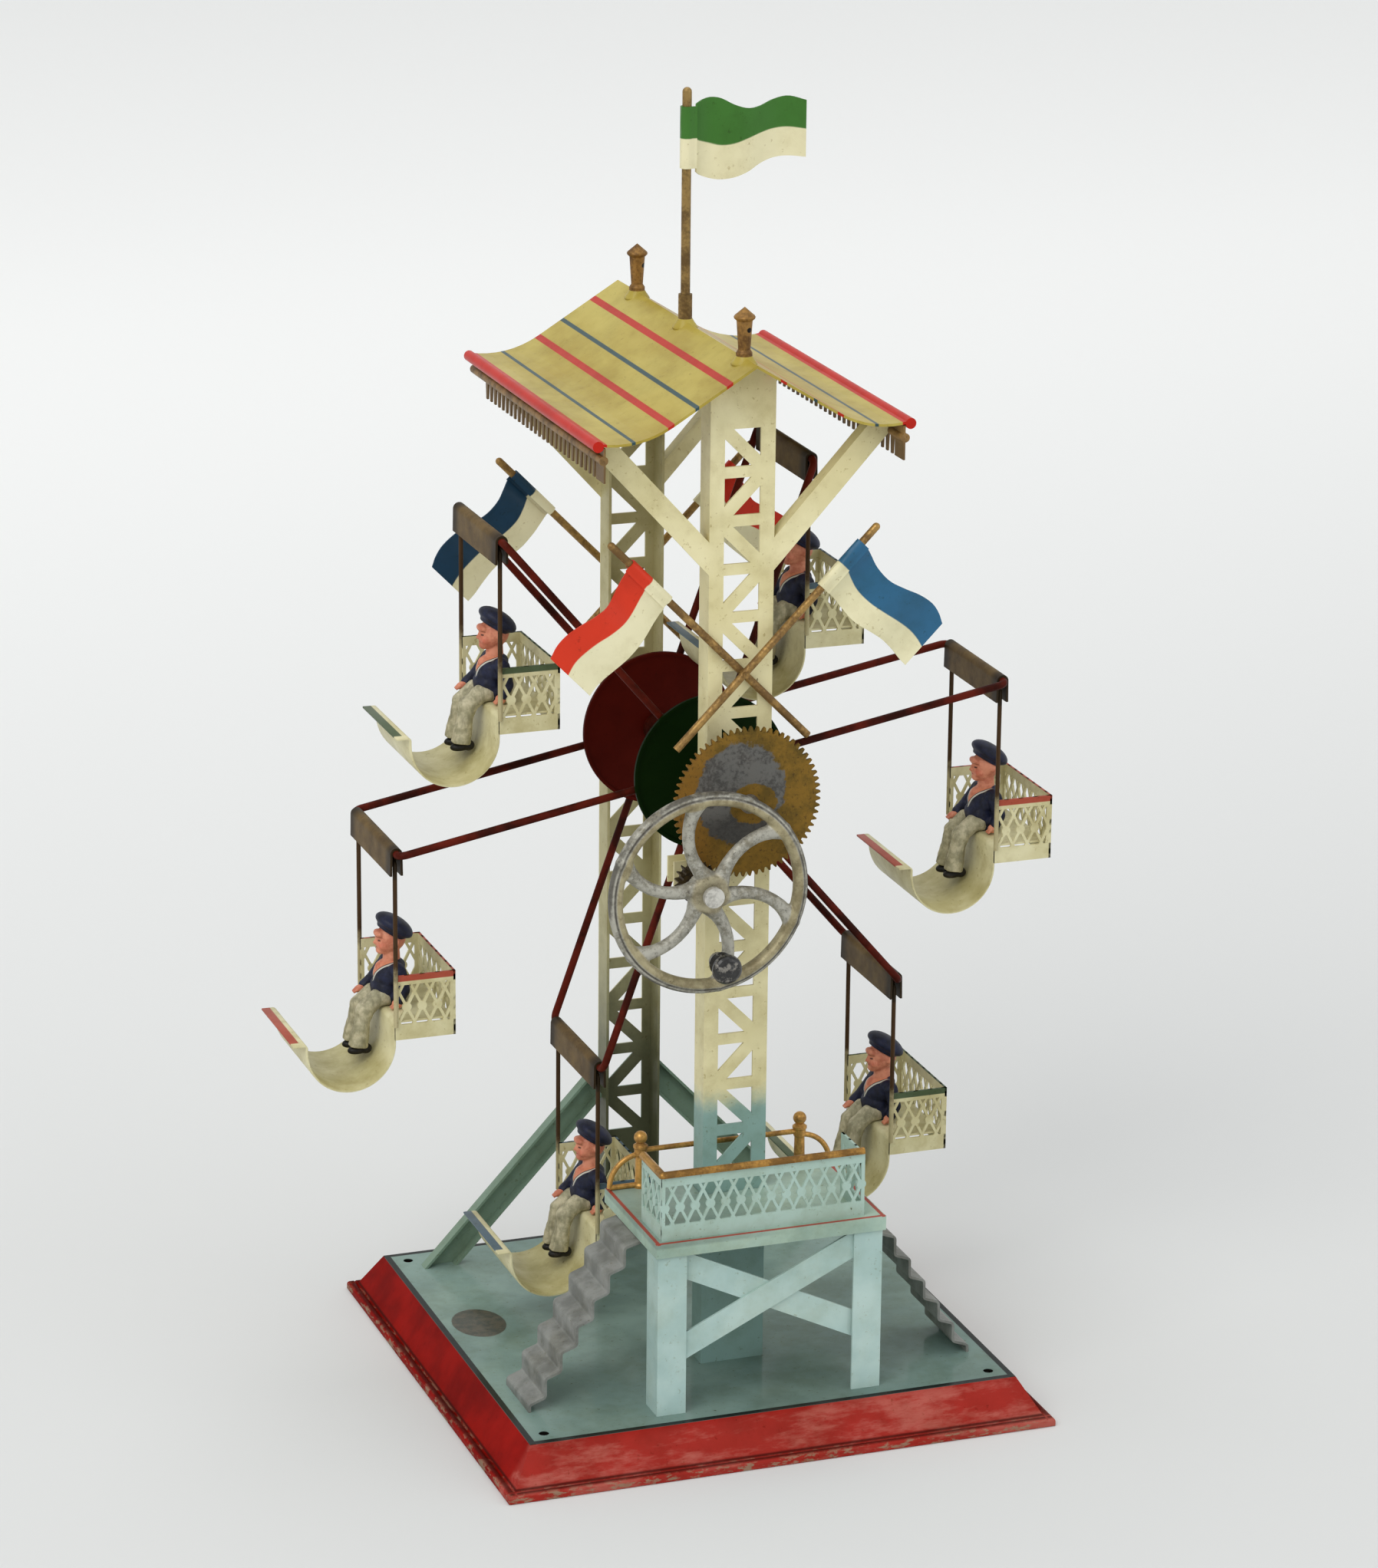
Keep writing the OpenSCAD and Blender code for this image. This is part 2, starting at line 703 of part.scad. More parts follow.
module platform_deck() {
    slot_w = tower_w + 2 * pass_gap;
    color("#a5beaf") difference() {
        translate([-deck_w / 2, -deck_front, deck_z - deck_rim])
            cube([deck_w, deck_front - deck_rear, deck_rim]);
        translate([-deck_w / 2 + deck_sheet, -deck_front + deck_sheet, deck_z - deck_rim - past])
            cube([deck_w - 2 * deck_sheet, deck_front - deck_rear - 2 * deck_sheet,
                deck_rim + past - deck_sheet]);
        translate([-slot_w / 2, front_y - pass_gap, deck_z - deck_rim - past])
            cube([slot_w, tower_flange + 2 * pass_gap, deck_rim + 2 * past]);
    }
}

module leg() {
    h = deck_z - deck_sheet - base_h;
    translate([leg_x - leg_w, leg_front, base_h]) cube([leg_w, deck_sheet, h]);
    translate([leg_x - deck_sheet, leg_front, base_h]) cube([deck_sheet, leg_d, h]);
}

module platform_legs() {
    color("#a8c4bc") {
        leg();
        mirror([1, 0, 0]) leg();
    }
}

// Flat strip between the legs, climbing to the right
module leg_brace() {
    half = leg_x - 1.5;
    slope = atan2(leg_brace_rise, 2 * half);
    v = leg_brace_w / cos(slope) / 2;
    z0 = leg_brace_z - leg_brace_rise / 2;
    z1 = leg_brace_z + leg_brace_rise / 2;
    intersection() {
        polygon([[-half, z0 - v], [half, z1 - v], [half, z1 + v], [-half, z0 + v]]);
        translate([-half, base_h]) square([2 * half, deck_z - deck_sheet - base_h]);
    }
}

module leg_braces() {
    y = leg_front + deck_sheet;
    color("#a8c4b4") {
        upright(y, y + deck_sheet) leg_brace();
        upright(y + deck_sheet, y + 2 * deck_sheet) mirror([1, 0]) leg_brace();
    }
}

// Pierced band of crosses with a disc on each, drawn from its lower left corner
module pierced_band(l, cols, h, foot, top, strap, disc) {
    pitch = l / cols;
    mid = foot + (h - foot - top) / 2;
    half = (h - foot - top) / 2;
    slant = strap / 2 * sqrt(1 + pow(pitch / 2 / half, 2));
    rise = slant * half / (pitch / 2);
    difference() {
        square([l, h]);
        for (i = [0 : cols - 1]) translate([(i + 0.5) * pitch, mid]) for (s = [-1, 1])
            polygon([[-(pitch / 2 - slant), s * half], [pitch / 2 - slant, s * half],
                [0, s * rise]]);
        for (i = [1 : cols - 1]) translate([i * pitch, mid]) difference() {
            polygon([[0, half - rise], [pitch / 2 - slant, 0], [0, rise - half],
                [slant - pitch / 2, 0]]);
            for (s = [-1, 1]) translate([s * pitch / 2, 0]) circle(r = disc);
        }
    }
}

module railing_band(l, cols) {
    pierced_band(l, cols, railing_h, railing_foot, top = 3.2, strap = 1, disc = 1.5);
}

module platform_railing() {
    pitch = railing_l / railing_cols;
    side_cols = max(1, floor(railing_return / pitch));
    x0 = railing_shift - railing_l / 2;
    color("#a9c2b2") {
        translate([x0, 0, deck_z]) upright(railing_y, railing_y + railing_t)
            railing_band(railing_l, railing_cols);
        for (x = [x0, x0 + railing_l - railing_t])
            translate([0, railing_y + railing_t, deck_z]) crosswise(x, x + railing_t)
                railing_band(railing_return, side_cols);
    }
}

module cap_outline() {
    intersection() {
        circle(d = cap_w);
        translate([-cap_w, -0.5]) square([2 * cap_w, cap_w]);
    }
}

module railing_cap() {
    x0 = railing_shift - railing_l / 2 + railing_t / 2;
    y0 = railing_y + railing_t / 2;
    color("#a0702c") translate([0, 0, railing_top + 0.5]) {
        translate([x0, y0, 0]) rotate([90, 0, 90]) linear_extrude(railing_l - railing_t)
            cap_outline();
        translate([x0, y0 + railing_return, 0]) rotate([90, 0, 0]) linear_extrude(railing_return)
            cap_outline();
        intersection() {
            translate([x0, y0, 0]) sphere(d = cap_w);
            translate([x0 - cap_w, y0 - cap_w, -0.5]) cube([cap_w * 2, cap_w * 2, cap_w]);
        }
    }
}

// Brass posts with ball tops, the rod between them and a quarter bow to each side
module brass_post() {
    r = post_d / 2;
    rotate_extrude() polygon([[0, 0], [r * 1.2, 0], [r * 1.2, 0.9], [r, 1.6], [r * 0.9, post_h * 0.62],
        [r * 1.1, post_h * 0.66], [r * 1.1, post_h * 0.78], [r * 1.28, post_h * 0.8],
        [r * 1.28, post_h * 0.84], [r * 0.6, post_h * 0.9], [0, post_h * 0.9]]);
    translate([0, 0, post_h]) sphere(d = ball_d);
    translate([0, 0, post_h * 0.85]) cylinder(r = r * 0.6, h = post_h * 0.15);
}

module brass_handrail() {
    rail_z = post_h * 0.74;
    bow = deck_w / 2 - post_x - rod_d / 2;
    color("#be8c46") translate([0, post_y, deck_z]) {
        for (s = [-1, 1]) translate([s * post_x, 0, 0]) {
            brass_post();
            translate([0, 0, rod_d / 2]) mirror([s > 0 ? 0 : 1, 0, 0]) {
                rotate([90, 0, 0]) rotate_extrude(angle = 90) translate([bow, 0]) circle(d = rod_d);
                translate([0, 0, bow]) sphere(d = rod_d);
                rotate([0, 90, 0]) cylinder(d = rod_d, h = bow);
            }
        }
        translate([-post_x, 0, rail_z]) rotate([0, 90, 0]) cylinder(d = rod_d, h = 2 * post_x);
    }
}

// Inner radius of the flights' corners, and the height of their last step beside that of the others
stair_round = 0.8;
stair_last = 0.57;

// Points of the flight's side view at a depth below its top face, from under the platform's rim
// down to the base, with a rounded nose on each tread and a rounded corner behind it
function stair_line(depth) =
    let (x0 = deck_w / 2, z0 = deck_z - deck_rim, r = stair_round, nose_r = r + stair_sheet)
    let (run = (stair_foot_x - x0) / stair_steps)
    let (rise = (z0 - base_h) / (stair_steps - 1 + stair_last))
    let (nose_z = (run - nose_r) * tan(tread_slope) + nose_r / cos(tread_slope))
    let (inner_z = rise + r * tan(tread_slope) - r / cos(tread_slope))
    concat([[x0 - 2 * deck_sheet, z0 - depth]],
        [for (i = [0 : stair_steps - 1], corner = [0, 1])
            let (x = x0 + (i + 1) * run, z = z0 - i * rise)
            if (i < stair_steps - 1 || corner == 0)
                for (p = corner == 0
                    ? arc(x - nose_r, z - nose_z, nose_r - depth, 90 - tread_slope, 0, 3)
                    : arc(x + r, z - inner_z, r + depth, 180, 270 - tread_slope, 3)) p],
        [[stair_foot_x - depth, base_h]]);

// Bent sheet that steps down from the platform's side to the base
module stair() {
    top = stair_line(0);
    low = stair_line(stair_sheet);
    upright(-stair_front, stair_w - stair_front)
        polygon(concat(top, [for (i = [len(low) - 1 : -1 : 0]) low[i]]));
}

module platform_stairs() {
    color("#8c8c91") {
        stair();
        mirror([1, 0, 0]) stair();
    }
}

// Wheel

// Round piece on a shaft that runs along Y, from y0 to y1
module on_shaft(x, z, y0, y1) {
    translate([x, y1, z]) rotate([90, 0, 0]) linear_extrude(y1 - y0) children();
}

module axle_bush(side) {
    y = wheel_y + side * tower_reach;
    a = min(y, y - side * tower_sheet * 3);
    b = max(y, y - side * tower_sheet * 3);
    fa = side < 0 ? y - bush_flange_t : y;
    difference() {
        union() {
            on_shaft(0, axle_z, a, b) circle(r = bush_r);
            on_shaft(0, axle_z, fa, fa + bush_flange_t) circle(r = bush_flange_r);
        }
        on_shaft(0, axle_z, a - 2 * past, b + 2 * past) circle(r = axle_d / 2 + run_gap);
    }
}

module axle_bushes() {
    color("#a5833c") {
        axle_bush(-1);
        axle_bush(1);
    }
}

module wheel_axle() {
    y0 = gear_front - 1.4;
    y1 = rear_y + 3.4;
    color("#6b6152") {
        on_shaft(0, axle_z, y0, y1) circle(d = axle_d);
        on_shaft(0, axle_z, y0 - 0.8, y0) circle(d = axle_d + 1.6);
        on_shaft(0, axle_z, y1, y1 + 0.8) circle(d = axle_d + 1.6);
    }
}

module collar(y0, y1, r) {
    on_shaft(0, axle_z, y0, y1) difference() {
        circle(r = r);
        circle(d = axle_d);
    }
}

// Collars that hold the discs, and the long one that spaces the gear from the tower
module axle_collars() {
    inner = arm_reach - 4;
    outer = tower_reach - 3 * tower_sheet - pass_gap;
    color("#5c2a20") {
        collar(wheel_y - disc_in, wheel_y - inner, collar_r);
        collar(wheel_y + inner, wheel_y + rear_disc - disc_sheet, collar_r);
        collar(wheel_y - outer, wheel_y - disc_out, collar_r - 0.8);
        collar(wheel_y + rear_disc, wheel_y + outer, collar_r - 0.8);
        collar(gear_y, front_y - bush_flange_t - pass_gap, collar_r + 1);
    }
}

// Hub disc with its rim curled toward -Y, its plain face on y = 0 against the arms
module hub_disc() {
    rotate([90, 0, 0]) difference() {
        rotate_extrude() polygon([[0, 0], [disc_r - 0.5, 0], [disc_r, 0.5], [disc_r, disc_rim],
            [disc_r - disc_sheet, disc_rim], [disc_r - disc_sheet, disc_sheet], [0, disc_sheet]]);
        translate([0, 0, -past]) cylinder(d = axle_d, h = disc_rim + 2 * past);
    }
}

module hub_discs() {
    color("#50140c") {
        translate([0, wheel_y + rear_disc, axle_z]) hub_disc();
        translate([0, wheel_y - disc_in, axle_z]) hub_disc();
    }
}

module drive_gear() {
    m = gear_module;
    tip = m * gear_teeth / 2 + 0.95 * m;
    root = m * gear_teeth / 2 - 1.2 * m;
    color("#96691a") translate([0, gear_y, axle_z]) rotate([90, 0, 0]) linear_extrude(gear_t)
        difference() {
            rotate([0, 0, mesh_angle]) polygon(tooth_points(gear_teeth, tip, root, 0.66 * m, 2.2 * m));
            circle(d = axle_d);
        }
}

// Frame of round bar: two bars from the hub and the cross rod that carries a gondola
module arm_frame() {
    bend = arm_bend + arm_d / 2;
    for (s = [-1, 1]) {
        bar([arm_start, s * arm_reach, 0], [arm_r - bend, s * arm_reach, 0], arm_d / 2);
        translate([arm_r - bend, s * (arm_reach - bend), 0]) rotate([0, 0, s > 0 ? 0 : -90])
            rotate_extrude(angle = 90) translate([bend, 0]) circle(d = arm_d);
    }
    bar([arm_r, -arm_reach + bend, 0], [arm_r, arm_reach - bend, 0], arm_d / 2);
}

module wheel_arm(k) {
    color("#5a231a") translate([0, wheel_y, axle_z])
        rotate([0, -wheel_phase - 60 * (k - 1), 0]) arm_frame();
}

// Drive

// Bracket on the tower's side with two bearing plates for the crank's shaft
module crank_bracket() {
    t = 0.8;
    lug = crank_d / 2 + 2.6;
    y0 = front_y + tower_sheet;
    y1 = front_y + tower_flange - tower_sheet - pass_gap;
    color("#ded6ac") difference() {
        union() {
            for (y = [y0, y1 - t]) upright(y, y + t)
                translate([-crank_x - lug, crank_z - lug])
                    square([crank_x + lug - tower_w / 2, 2 * lug]);
            upright(y0, y1) translate([-tower_w / 2 - t, crank_z - lug]) square([t, 2 * lug]);
        }
        on_shaft(-crank_x, crank_z, y0 - past, y1 + past) circle(d = crank_d + 2 * run_gap);
    }
}

module crank_shaft() {
    y0 = handwheel_back - handwheel_t - 1.2;
    y1 = front_y + tower_flange + 1.4;
    color("#8a8577") {
        on_shaft(-crank_x, crank_z, y0, y1) circle(d = crank_d);
        on_shaft(-crank_x, crank_z, y0 - 1.8, y0) circle(d = crank_d + 3.4);
        on_shaft(-crank_x, crank_z, y1, y1 + 0.8) circle(d = crank_d + 1.6);
    }
}

module crank_pinion() {
    m = gear_module;
    tip = m * pinion_teeth / 2 + 0.85 * m;
    root = m * pinion_teeth / 2 - 1.2 * m;
    mid = gear_y - gear_t / 2;
    color("#9a8b6a") translate([-crank_x, mid + pinion_t / 2, crank_z]) rotate([90, 0, 0])
        linear_extrude(pinion_t) difference() {
            rotate([0, 0, mesh_angle + 180 + 180 / pinion_teeth])
                polygon(tooth_points(pinion_teeth, tip, root, 0.6 * m, 1.7 * m));
            circle(d = crank_d);
        }
}

// One bowed spoke along +X, from inside the hub to the middle of the rim's tube
module spoke() {
    start = handwheel_hub_r - 1.4;
    half = (rim_r - start) / 2;
    r = (half * half + spoke_bow * spoke_bow) / (2 * spoke_bow);
    turn = asin(half / r);
    translate([start + half, spoke_bow - r]) rotate([0, 0, 90 - turn])
        rotate_extrude(angle = 2 * turn) translate([r, 0]) circle(d = spoke_d);
}

module handwheel() {
    color("#b9b4a5") translate([-crank_x, handwheel_y, crank_z]) {
        rotate([90, 0, 0]) {
            rotate_extrude() translate([rim_r, 0]) circle(d = rim_d);
            for (i = [0 : 5]) rotate([0, 0, handwheel_phase + 60 * i]) spoke();
            difference() {
                rotate_extrude() polygon([[0, -handwheel_t / 2], [handwheel_hub_r - 1, -handwheel_t / 2],
                    [handwheel_hub_r, 1 - handwheel_t / 2], [handwheel_hub_r, handwheel_t / 2 - 1.6],
                    [handwheel_hub_r - 1.6, handwheel_t / 2], [0, handwheel_t / 2]]);
                cylinder(d = crank_d, h = handwheel_t + past, center = true);
            }
            rotate([0, 0, knob_angle]) translate([knob_reach, 0, 0]) {
                cylinder(d = knob_pin_d + 2.6, h = -knob_back + handwheel_y - pass_gap);
                cylinder(d = knob_pin_d, h = -knob_back + handwheel_y + knob_l - 1);
            }
        }
    }
}

module crank_knob() {
    r = knob_d / 2;
    l = knob_l;
    color("#1a1a1a") translate([-crank_x, knob_back, crank_z]) rotate([90, 0, 0])
        rotate([0, 0, knob_angle]) translate([knob_reach, 0, 0]) difference() {
            rotate_extrude() polygon(concat([[0, 0], [r * 0.72, 0], [r * 0.78, l * 0.1],
                [r * 0.62, l * 0.25], [r * 0.62, l * 0.38]],
                arc(r * 0.5, l * 0.68, r * 0.5, -55, 90, 7), [[0, l]]));
            translate([0, 0, -past]) cylinder(d = knob_pin_d + 2 * run_gap, h = past + l - 0.7);
        }
}

// Gondolas, each drawn from its hanging rod and moved to its place on the wheel

module at_rod(k) {
    t = wheel_phase + 60 * (k - 1);
    translate([arm_r * cos(t), wheel_y, axle_z + arm_r * sin(t)]) children();
}

// Cap folded over the rod, and the wire bail that is soldered inside it
module cap_fold() {
    out = cap_in + cap_sheet;
    a = -cap_spread;
    b = 180 + cap_spread;
    c = cap_h * cos(cap_spread);
    d = cap_h * sin(cap_spread);
    polygon(concat(
        [[out * cos(a) + d, out * sin(a) - c]], arc(0, 0, out, a, b, 24),
        [[out * cos(b) - d, out * sin(b) - c]],
        [[cap_in * cos(b) - d, cap_in * sin(b) - c]], arc(0, 0, cap_in, b, a, 24),
        [[cap_in * cos(a) + d, cap_in * sin(a) - c]]));
}

module hanger_shape() {
    wire_foot = -guard_drop - guard_h + guard_foot;
    bend = bail_d;
    solder = cap_in + cap_sheet / 2 - bail_z * tan(cap_spread);
    upright(-cap_l / 2, cap_l / 2) cap_fold();
    bar([0, bend - bail_y, bail_z], [0, bail_y - bend, bail_z], bail_d / 2);
    for (s = [0, 1]) mirror([0, s, 0]) {
        translate([0, bail_y - bend, bail_z - bend]) rotate([90, 0, 90]) rotate_extrude(angle = 90)
            translate([bend, 0]) circle(d = bail_d);
        bar([0, bail_y, wire_foot], [0, bail_y, bail_z - bend], bail_d / 2);
        translate([-solder, bail_y - bend - 5, bail_z - bail_d / 4]) cube([2 * solder, 3, bail_d / 2]);
    }
}

module gondola_hanger(k) {
    color("#82694b") at_rod(k) hanger_shape();
}

// Bent strip: seat, wall, round foot trough and flared lip
module seat_shape() {
    t = seat_sheet;
    c = [trough_cx, trough_cz];
    lip = [lip_l * sin(lip_lean), lip_l * cos(lip_lean)];
    nx = t * cos(lip_lean);
    nz = t * sin(lip_lean);
    upright(-seat_w / 2, seat_w / 2) {
        difference() {
            translate(c) circle(r = trough_r);
            translate(c) circle(r = trough_r - t);
            translate([c[0] - 2 * trough_r, c[1]]) square([4 * trough_r, 2 * trough_r]);
        }
        translate([wall_x - t, c[1]]) square([t, seat_wall - t]);
        translate([wall_x - t, -seat_drop - t]) square([guard_l - wall_x + t - guard_sheet, t]);
        polygon([[c[0] - trough_r, c[1]], [c[0] - trough_r + t, c[1]],
            [c[0] - trough_r - lip[0] + nx, c[1] + lip[1] + nz],
            [c[0] - trough_r - lip[0], c[1] + lip[1]]]);
    }
}

module gondola_seat(k) {
    color("#d7d2aa") at_rod(k) seat_shape();
}

module guard_band(l, cols) {
    pierced_band(l, cols, guard_h, guard_foot, guard_top, strap = 1, disc = 1.35);
}

// Three-sided pierced guard, open toward the foot trough
module guard_shape() {
    z = -guard_drop - guard_h;
    side_l = guard_l - guard_sheet;
    for (s = [-1, 1]) translate([0, s > 0 ? bail_y - bail_d / 2 : -bail_y + bail_d / 2, z])
        upright(s > 0 ? -guard_sheet : 0, s > 0 ? 0 : guard_sheet) guard_band(side_l, guard_side_cols);
    translate([0, -bail_y + bail_d / 2, z]) crosswise(side_l, guard_l)
        guard_band(2 * bail_y - bail_d, guard_back_cols);
}

module gondola_guard(k) {
    color("#d7d2aa") at_rod(k) guard_shape();
}

// Round-ended limb of radius r from a to b
module limb(a, b, r) {
    d = b - a;
    l = norm(d);
    translate(a) rotate([0, acos(d[2] / l), atan2(d[1], d[0])]) rotate_extrude() intersection() {
        union() {
            circle(r = r);
            translate([0, l]) circle(r = r);
            translate([-r, 0]) square([2 * r, l]);
        }
        translate([0, -r]) square([r, l + 2 * r]);
    }
}

// Seated figure facing -X with its shins over the seat's edge; one hand lies on a thigh and one on
// the seat, and whatever would sink into the seat is cut off flat
module figure_shape() {
    reach = 30;
    translate([0, 0, -seat_drop + 0.05]) difference() {
        scale(figure_h / 44.6) {
            translate([2.6, 0, 0]) rotate([0, 7, 0]) rotate_extrude()
                polygon([[0, -2], [6.2, -2], [6.4, 3.4], [5.6, 9.8], [3.9, 12.6], [2.4, 13.2],
                    [2.4, 17], [0, 17]]);
            translate([4.3, 0, 20.85]) sphere(r = 4.8);
            translate([4.9, 0, 24]) rotate([0, 34, 0]) rotate_extrude()
                polygon([[0, -1.2], [4.8, -1.2], [6.4, 0.2], [6.2, 2], [4.4, 3.7], [0, 4.4]]);
            limb([5, -6.5, 11.5], [6, -8, 5.5], 1.8);
            limb([6, -8, 5.5], [4, -8.4, 1.8], 1.7);
            limb([4.5, 6.5, 11.5], [1, 8.3, 6], 1.8);
            limb([1, 8.3, 6], [-4.4, 5.5, 2], 1.7);
            for (s = [-1, 1]) {
                limb([5.5, s * 3.1, 3.2], [-5.4, s * 3.1, -2.2], 2.7);
                limb([-5.4, s * 3.1, -2.2], [-7.9, s * 3.1, -12.6], 2.4);
                limb([-5.2, s * 3.1, -13.9], [-9.4, s * 3.1, -13.5], 1.8);
            }
        }
        translate([wall_x - 2, -reach, -reach]) cube([2 * reach, 2 * reach, reach]);
    }
}

module gondola_figure(k) {
    color("#23263e") at_rod(k) figure_shape();
}

base_shell();
front_tower();
rear_tower();
tower_struts();
roof_panel();
eave_fringes();
eave_braces();
roof_lanterns();
flag_socket();
flagpole();
top_flag();
crossed_poles();
crossed_flags();
platform_deck();
platform_legs();
leg_braces();
platform_railing();
railing_cap();
brass_handrail();
platform_stairs();
crank_bracket();
axle_bushes();
wheel_axle();
axle_collars();
hub_discs();
drive_gear();
wheel_arm(1);  // wheel_arm_1
wheel_arm(2);  // wheel_arm_2
wheel_arm(3);  // wheel_arm_3
wheel_arm(4);  // wheel_arm_4
wheel_arm(5);  // wheel_arm_5
wheel_arm(6);  // wheel_arm_6
handwheel();
crank_shaft();
crank_pinion();
crank_knob();
gondola_hanger(1);  // gondola_1_hanger
gondola_seat(1);  // gondola_1_seat
gondola_guard(1);  // gondola_1_guard
gondola_figure(1);  // gondola_1_figure
gondola_hanger(2);  // gondola_2_hanger
gondola_seat(2);  // gondola_2_seat
gondola_guard(2);  // gondola_2_guard
gondola_figure(2);  // gondola_2_figure
gondola_hanger(3);  // gondola_3_hanger
gondola_seat(3);  // gondola_3_seat
gondola_guard(3);  // gondola_3_guard
gondola_figure(3);  // gondola_3_figure
gondola_hanger(4);  // gondola_4_hanger
gondola_seat(4);  // gondola_4_seat
gondola_guard(4);  // gondola_4_guard
gondola_figure(4);  // gondola_4_figure
gondola_hanger(5);  // gondola_5_hanger
gondola_seat(5);  // gondola_5_seat
gondola_guard(5);  // gondola_5_guard
gondola_figure(5);  // gondola_5_figure
gondola_hanger(6);  // gondola_6_hanger
gondola_seat(6);  // gondola_6_seat
gondola_guard(6);  // gondola_6_guard
gondola_figure(6);  // gondola_6_figure
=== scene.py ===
from math import cos, pi, radians, sin, sqrt
import bpy
from mathutils import Matrix, Vector


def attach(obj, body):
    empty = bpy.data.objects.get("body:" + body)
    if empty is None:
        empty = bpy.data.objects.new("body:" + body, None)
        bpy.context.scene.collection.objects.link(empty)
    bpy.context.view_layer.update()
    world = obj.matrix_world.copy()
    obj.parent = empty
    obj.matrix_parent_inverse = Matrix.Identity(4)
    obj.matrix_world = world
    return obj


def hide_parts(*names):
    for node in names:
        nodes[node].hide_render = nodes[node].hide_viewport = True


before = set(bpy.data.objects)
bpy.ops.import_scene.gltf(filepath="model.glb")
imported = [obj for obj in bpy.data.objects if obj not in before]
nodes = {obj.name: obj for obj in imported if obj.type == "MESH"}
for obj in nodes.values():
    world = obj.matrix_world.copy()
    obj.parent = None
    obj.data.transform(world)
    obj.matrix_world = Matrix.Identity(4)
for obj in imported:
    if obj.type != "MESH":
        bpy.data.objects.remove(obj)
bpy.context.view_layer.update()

wheelY, axleZ, armRadius, wheelPhase = 14.6, 201.5, 101.6, 10.5


def rodPlace(k):
    turn = radians(wheelPhase + 60 * (k - 1))
    return (armRadius * cos(turn), wheelY, axleZ + armRadius * sin(turn))


def paint(r, g, b):
    # a colour as read off the photograph, 0 to 255, made linear
    def one(v):
        v /= 255
        return v / 12.92 if v <= 0.04045 else ((v + 0.055) / 1.055) ** 2.4
    return (one(r), one(g), one(b), 1)


class Wire:
    def __init__(self, look, socket):
        self.look, self.socket = look, socket

    def sum(self, kind, *others):
        return self.look.add("ShaderNodeMath", {"operation": kind}, dict(enumerate((self,) + others)))

    def __add__(self, o): return self.sum("ADD", o)
    def __sub__(self, o): return self.sum("SUBTRACT", o)
    def __mul__(self, o): return self.sum("MULTIPLY", o)
    def __truediv__(self, o): return self.sum("DIVIDE", o)
    def __rsub__(self, o): return self.look.add("ShaderNodeMath", {"operation": "SUBTRACT"}, {0: o, 1: self})
    def __abs__(self): return self.sum("ABSOLUTE")
    __radd__, __rmul__ = __add__, __mul__

    def most(self, o): return self.sum("MAXIMUM", o)

    def over(self, edge, soft=0.15):
        # 0 under the edge, 1 over it
        return self.look.add("ShaderNodeMapRange", {"interpolation_type": "SMOOTHSTEP"},
                             {0: self, 1: edge - soft, 2: edge + soft, 3: 0.0, 4: 1.0})

    def under(self, edge, soft=0.15):
        return 1 - self.over(edge, soft)

    def near(self, place, half, soft=0.15):
        return abs(self - place).under(half, soft)


class Look:
    def __init__(self, name):
        self.material = bpy.data.materials.new(name)
        self.material.use_nodes = True
        self.tree = self.material.node_tree
        self.shader = self.tree.nodes["Principled BSDF"]
        self.place = self.add("ShaderNodeTexCoord", out="Object")
        # everything below works in millimetres
        self.mm = self.add("ShaderNodeVectorMath", {"operation": "SCALE"}, {0: self.place, 3: 1000.0})
        self.x, self.y, self.z = (self.add("ShaderNodeSeparateXYZ", {}, {0: self.mm}, out=i) for i in range(3))

    def add(self, kind, settings=None, values=None, out=0):
        node = self.tree.nodes.new(kind)
        for key, value in (settings or {}).items():
            setattr(node, key, value)
        for key, value in (values or {}).items():
            self.give(node.inputs[key], value)
        return Wire(self, node.outputs[out])

    def give(self, socket, value):
        if isinstance(value, Wire):
            self.tree.links.new(value.socket, socket)
        else:
            socket.default_value = value

    def blend(self, a, b, amount, kind="MIX"):
        return self.add("ShaderNodeMix", {"data_type": "RGBA", "blend_type": kind, "clamp_factor": True},
                        {0: amount, 6: a, 7: b}, out=2)

    def cloud(self, size, detail=3.0, rough=0.55, stretch=None):
        # soft noise whose blotches are about size mm across
        place = self.mm
        if stretch:
            place = self.add("ShaderNodeMapping", {}, {0: self.mm, 3: stretch})
        return self.add("ShaderNodeTexNoise", {"noise_dimensions": "3D"},
                        {"Vector": place, "Scale": 1.0 / size, "Detail": detail, "Roughness": rough})

    def bump(self, height, strength, distance):
        return self.add("ShaderNodeBump", {}, {"Strength": strength, "Distance": distance, "Height": height})

    def finish(self, colour, rough, metal=0.0, normal=None, coat=0.0, coatRough=0.15, spec=0.5):
        for key, value in (("Base Color", colour), ("Roughness", rough), ("Metallic", metal), ("Coat Weight", coat)):
            self.give(self.shader.inputs[key], value)
        self.shader.inputs["Coat Roughness"].default_value = coatRough
        self.shader.inputs["Specular IOR Level"].default_value = spec
        if normal is not None:
            self.give(self.shader.inputs["Normal"], normal)
        return self.material


agedTin = {"chip": paint(58, 50, 42), "soil": (0.66, 0.6, 0.48, 1), "fade": (0.9, 0.9, 0.86, 1), "ripple": 0.5}


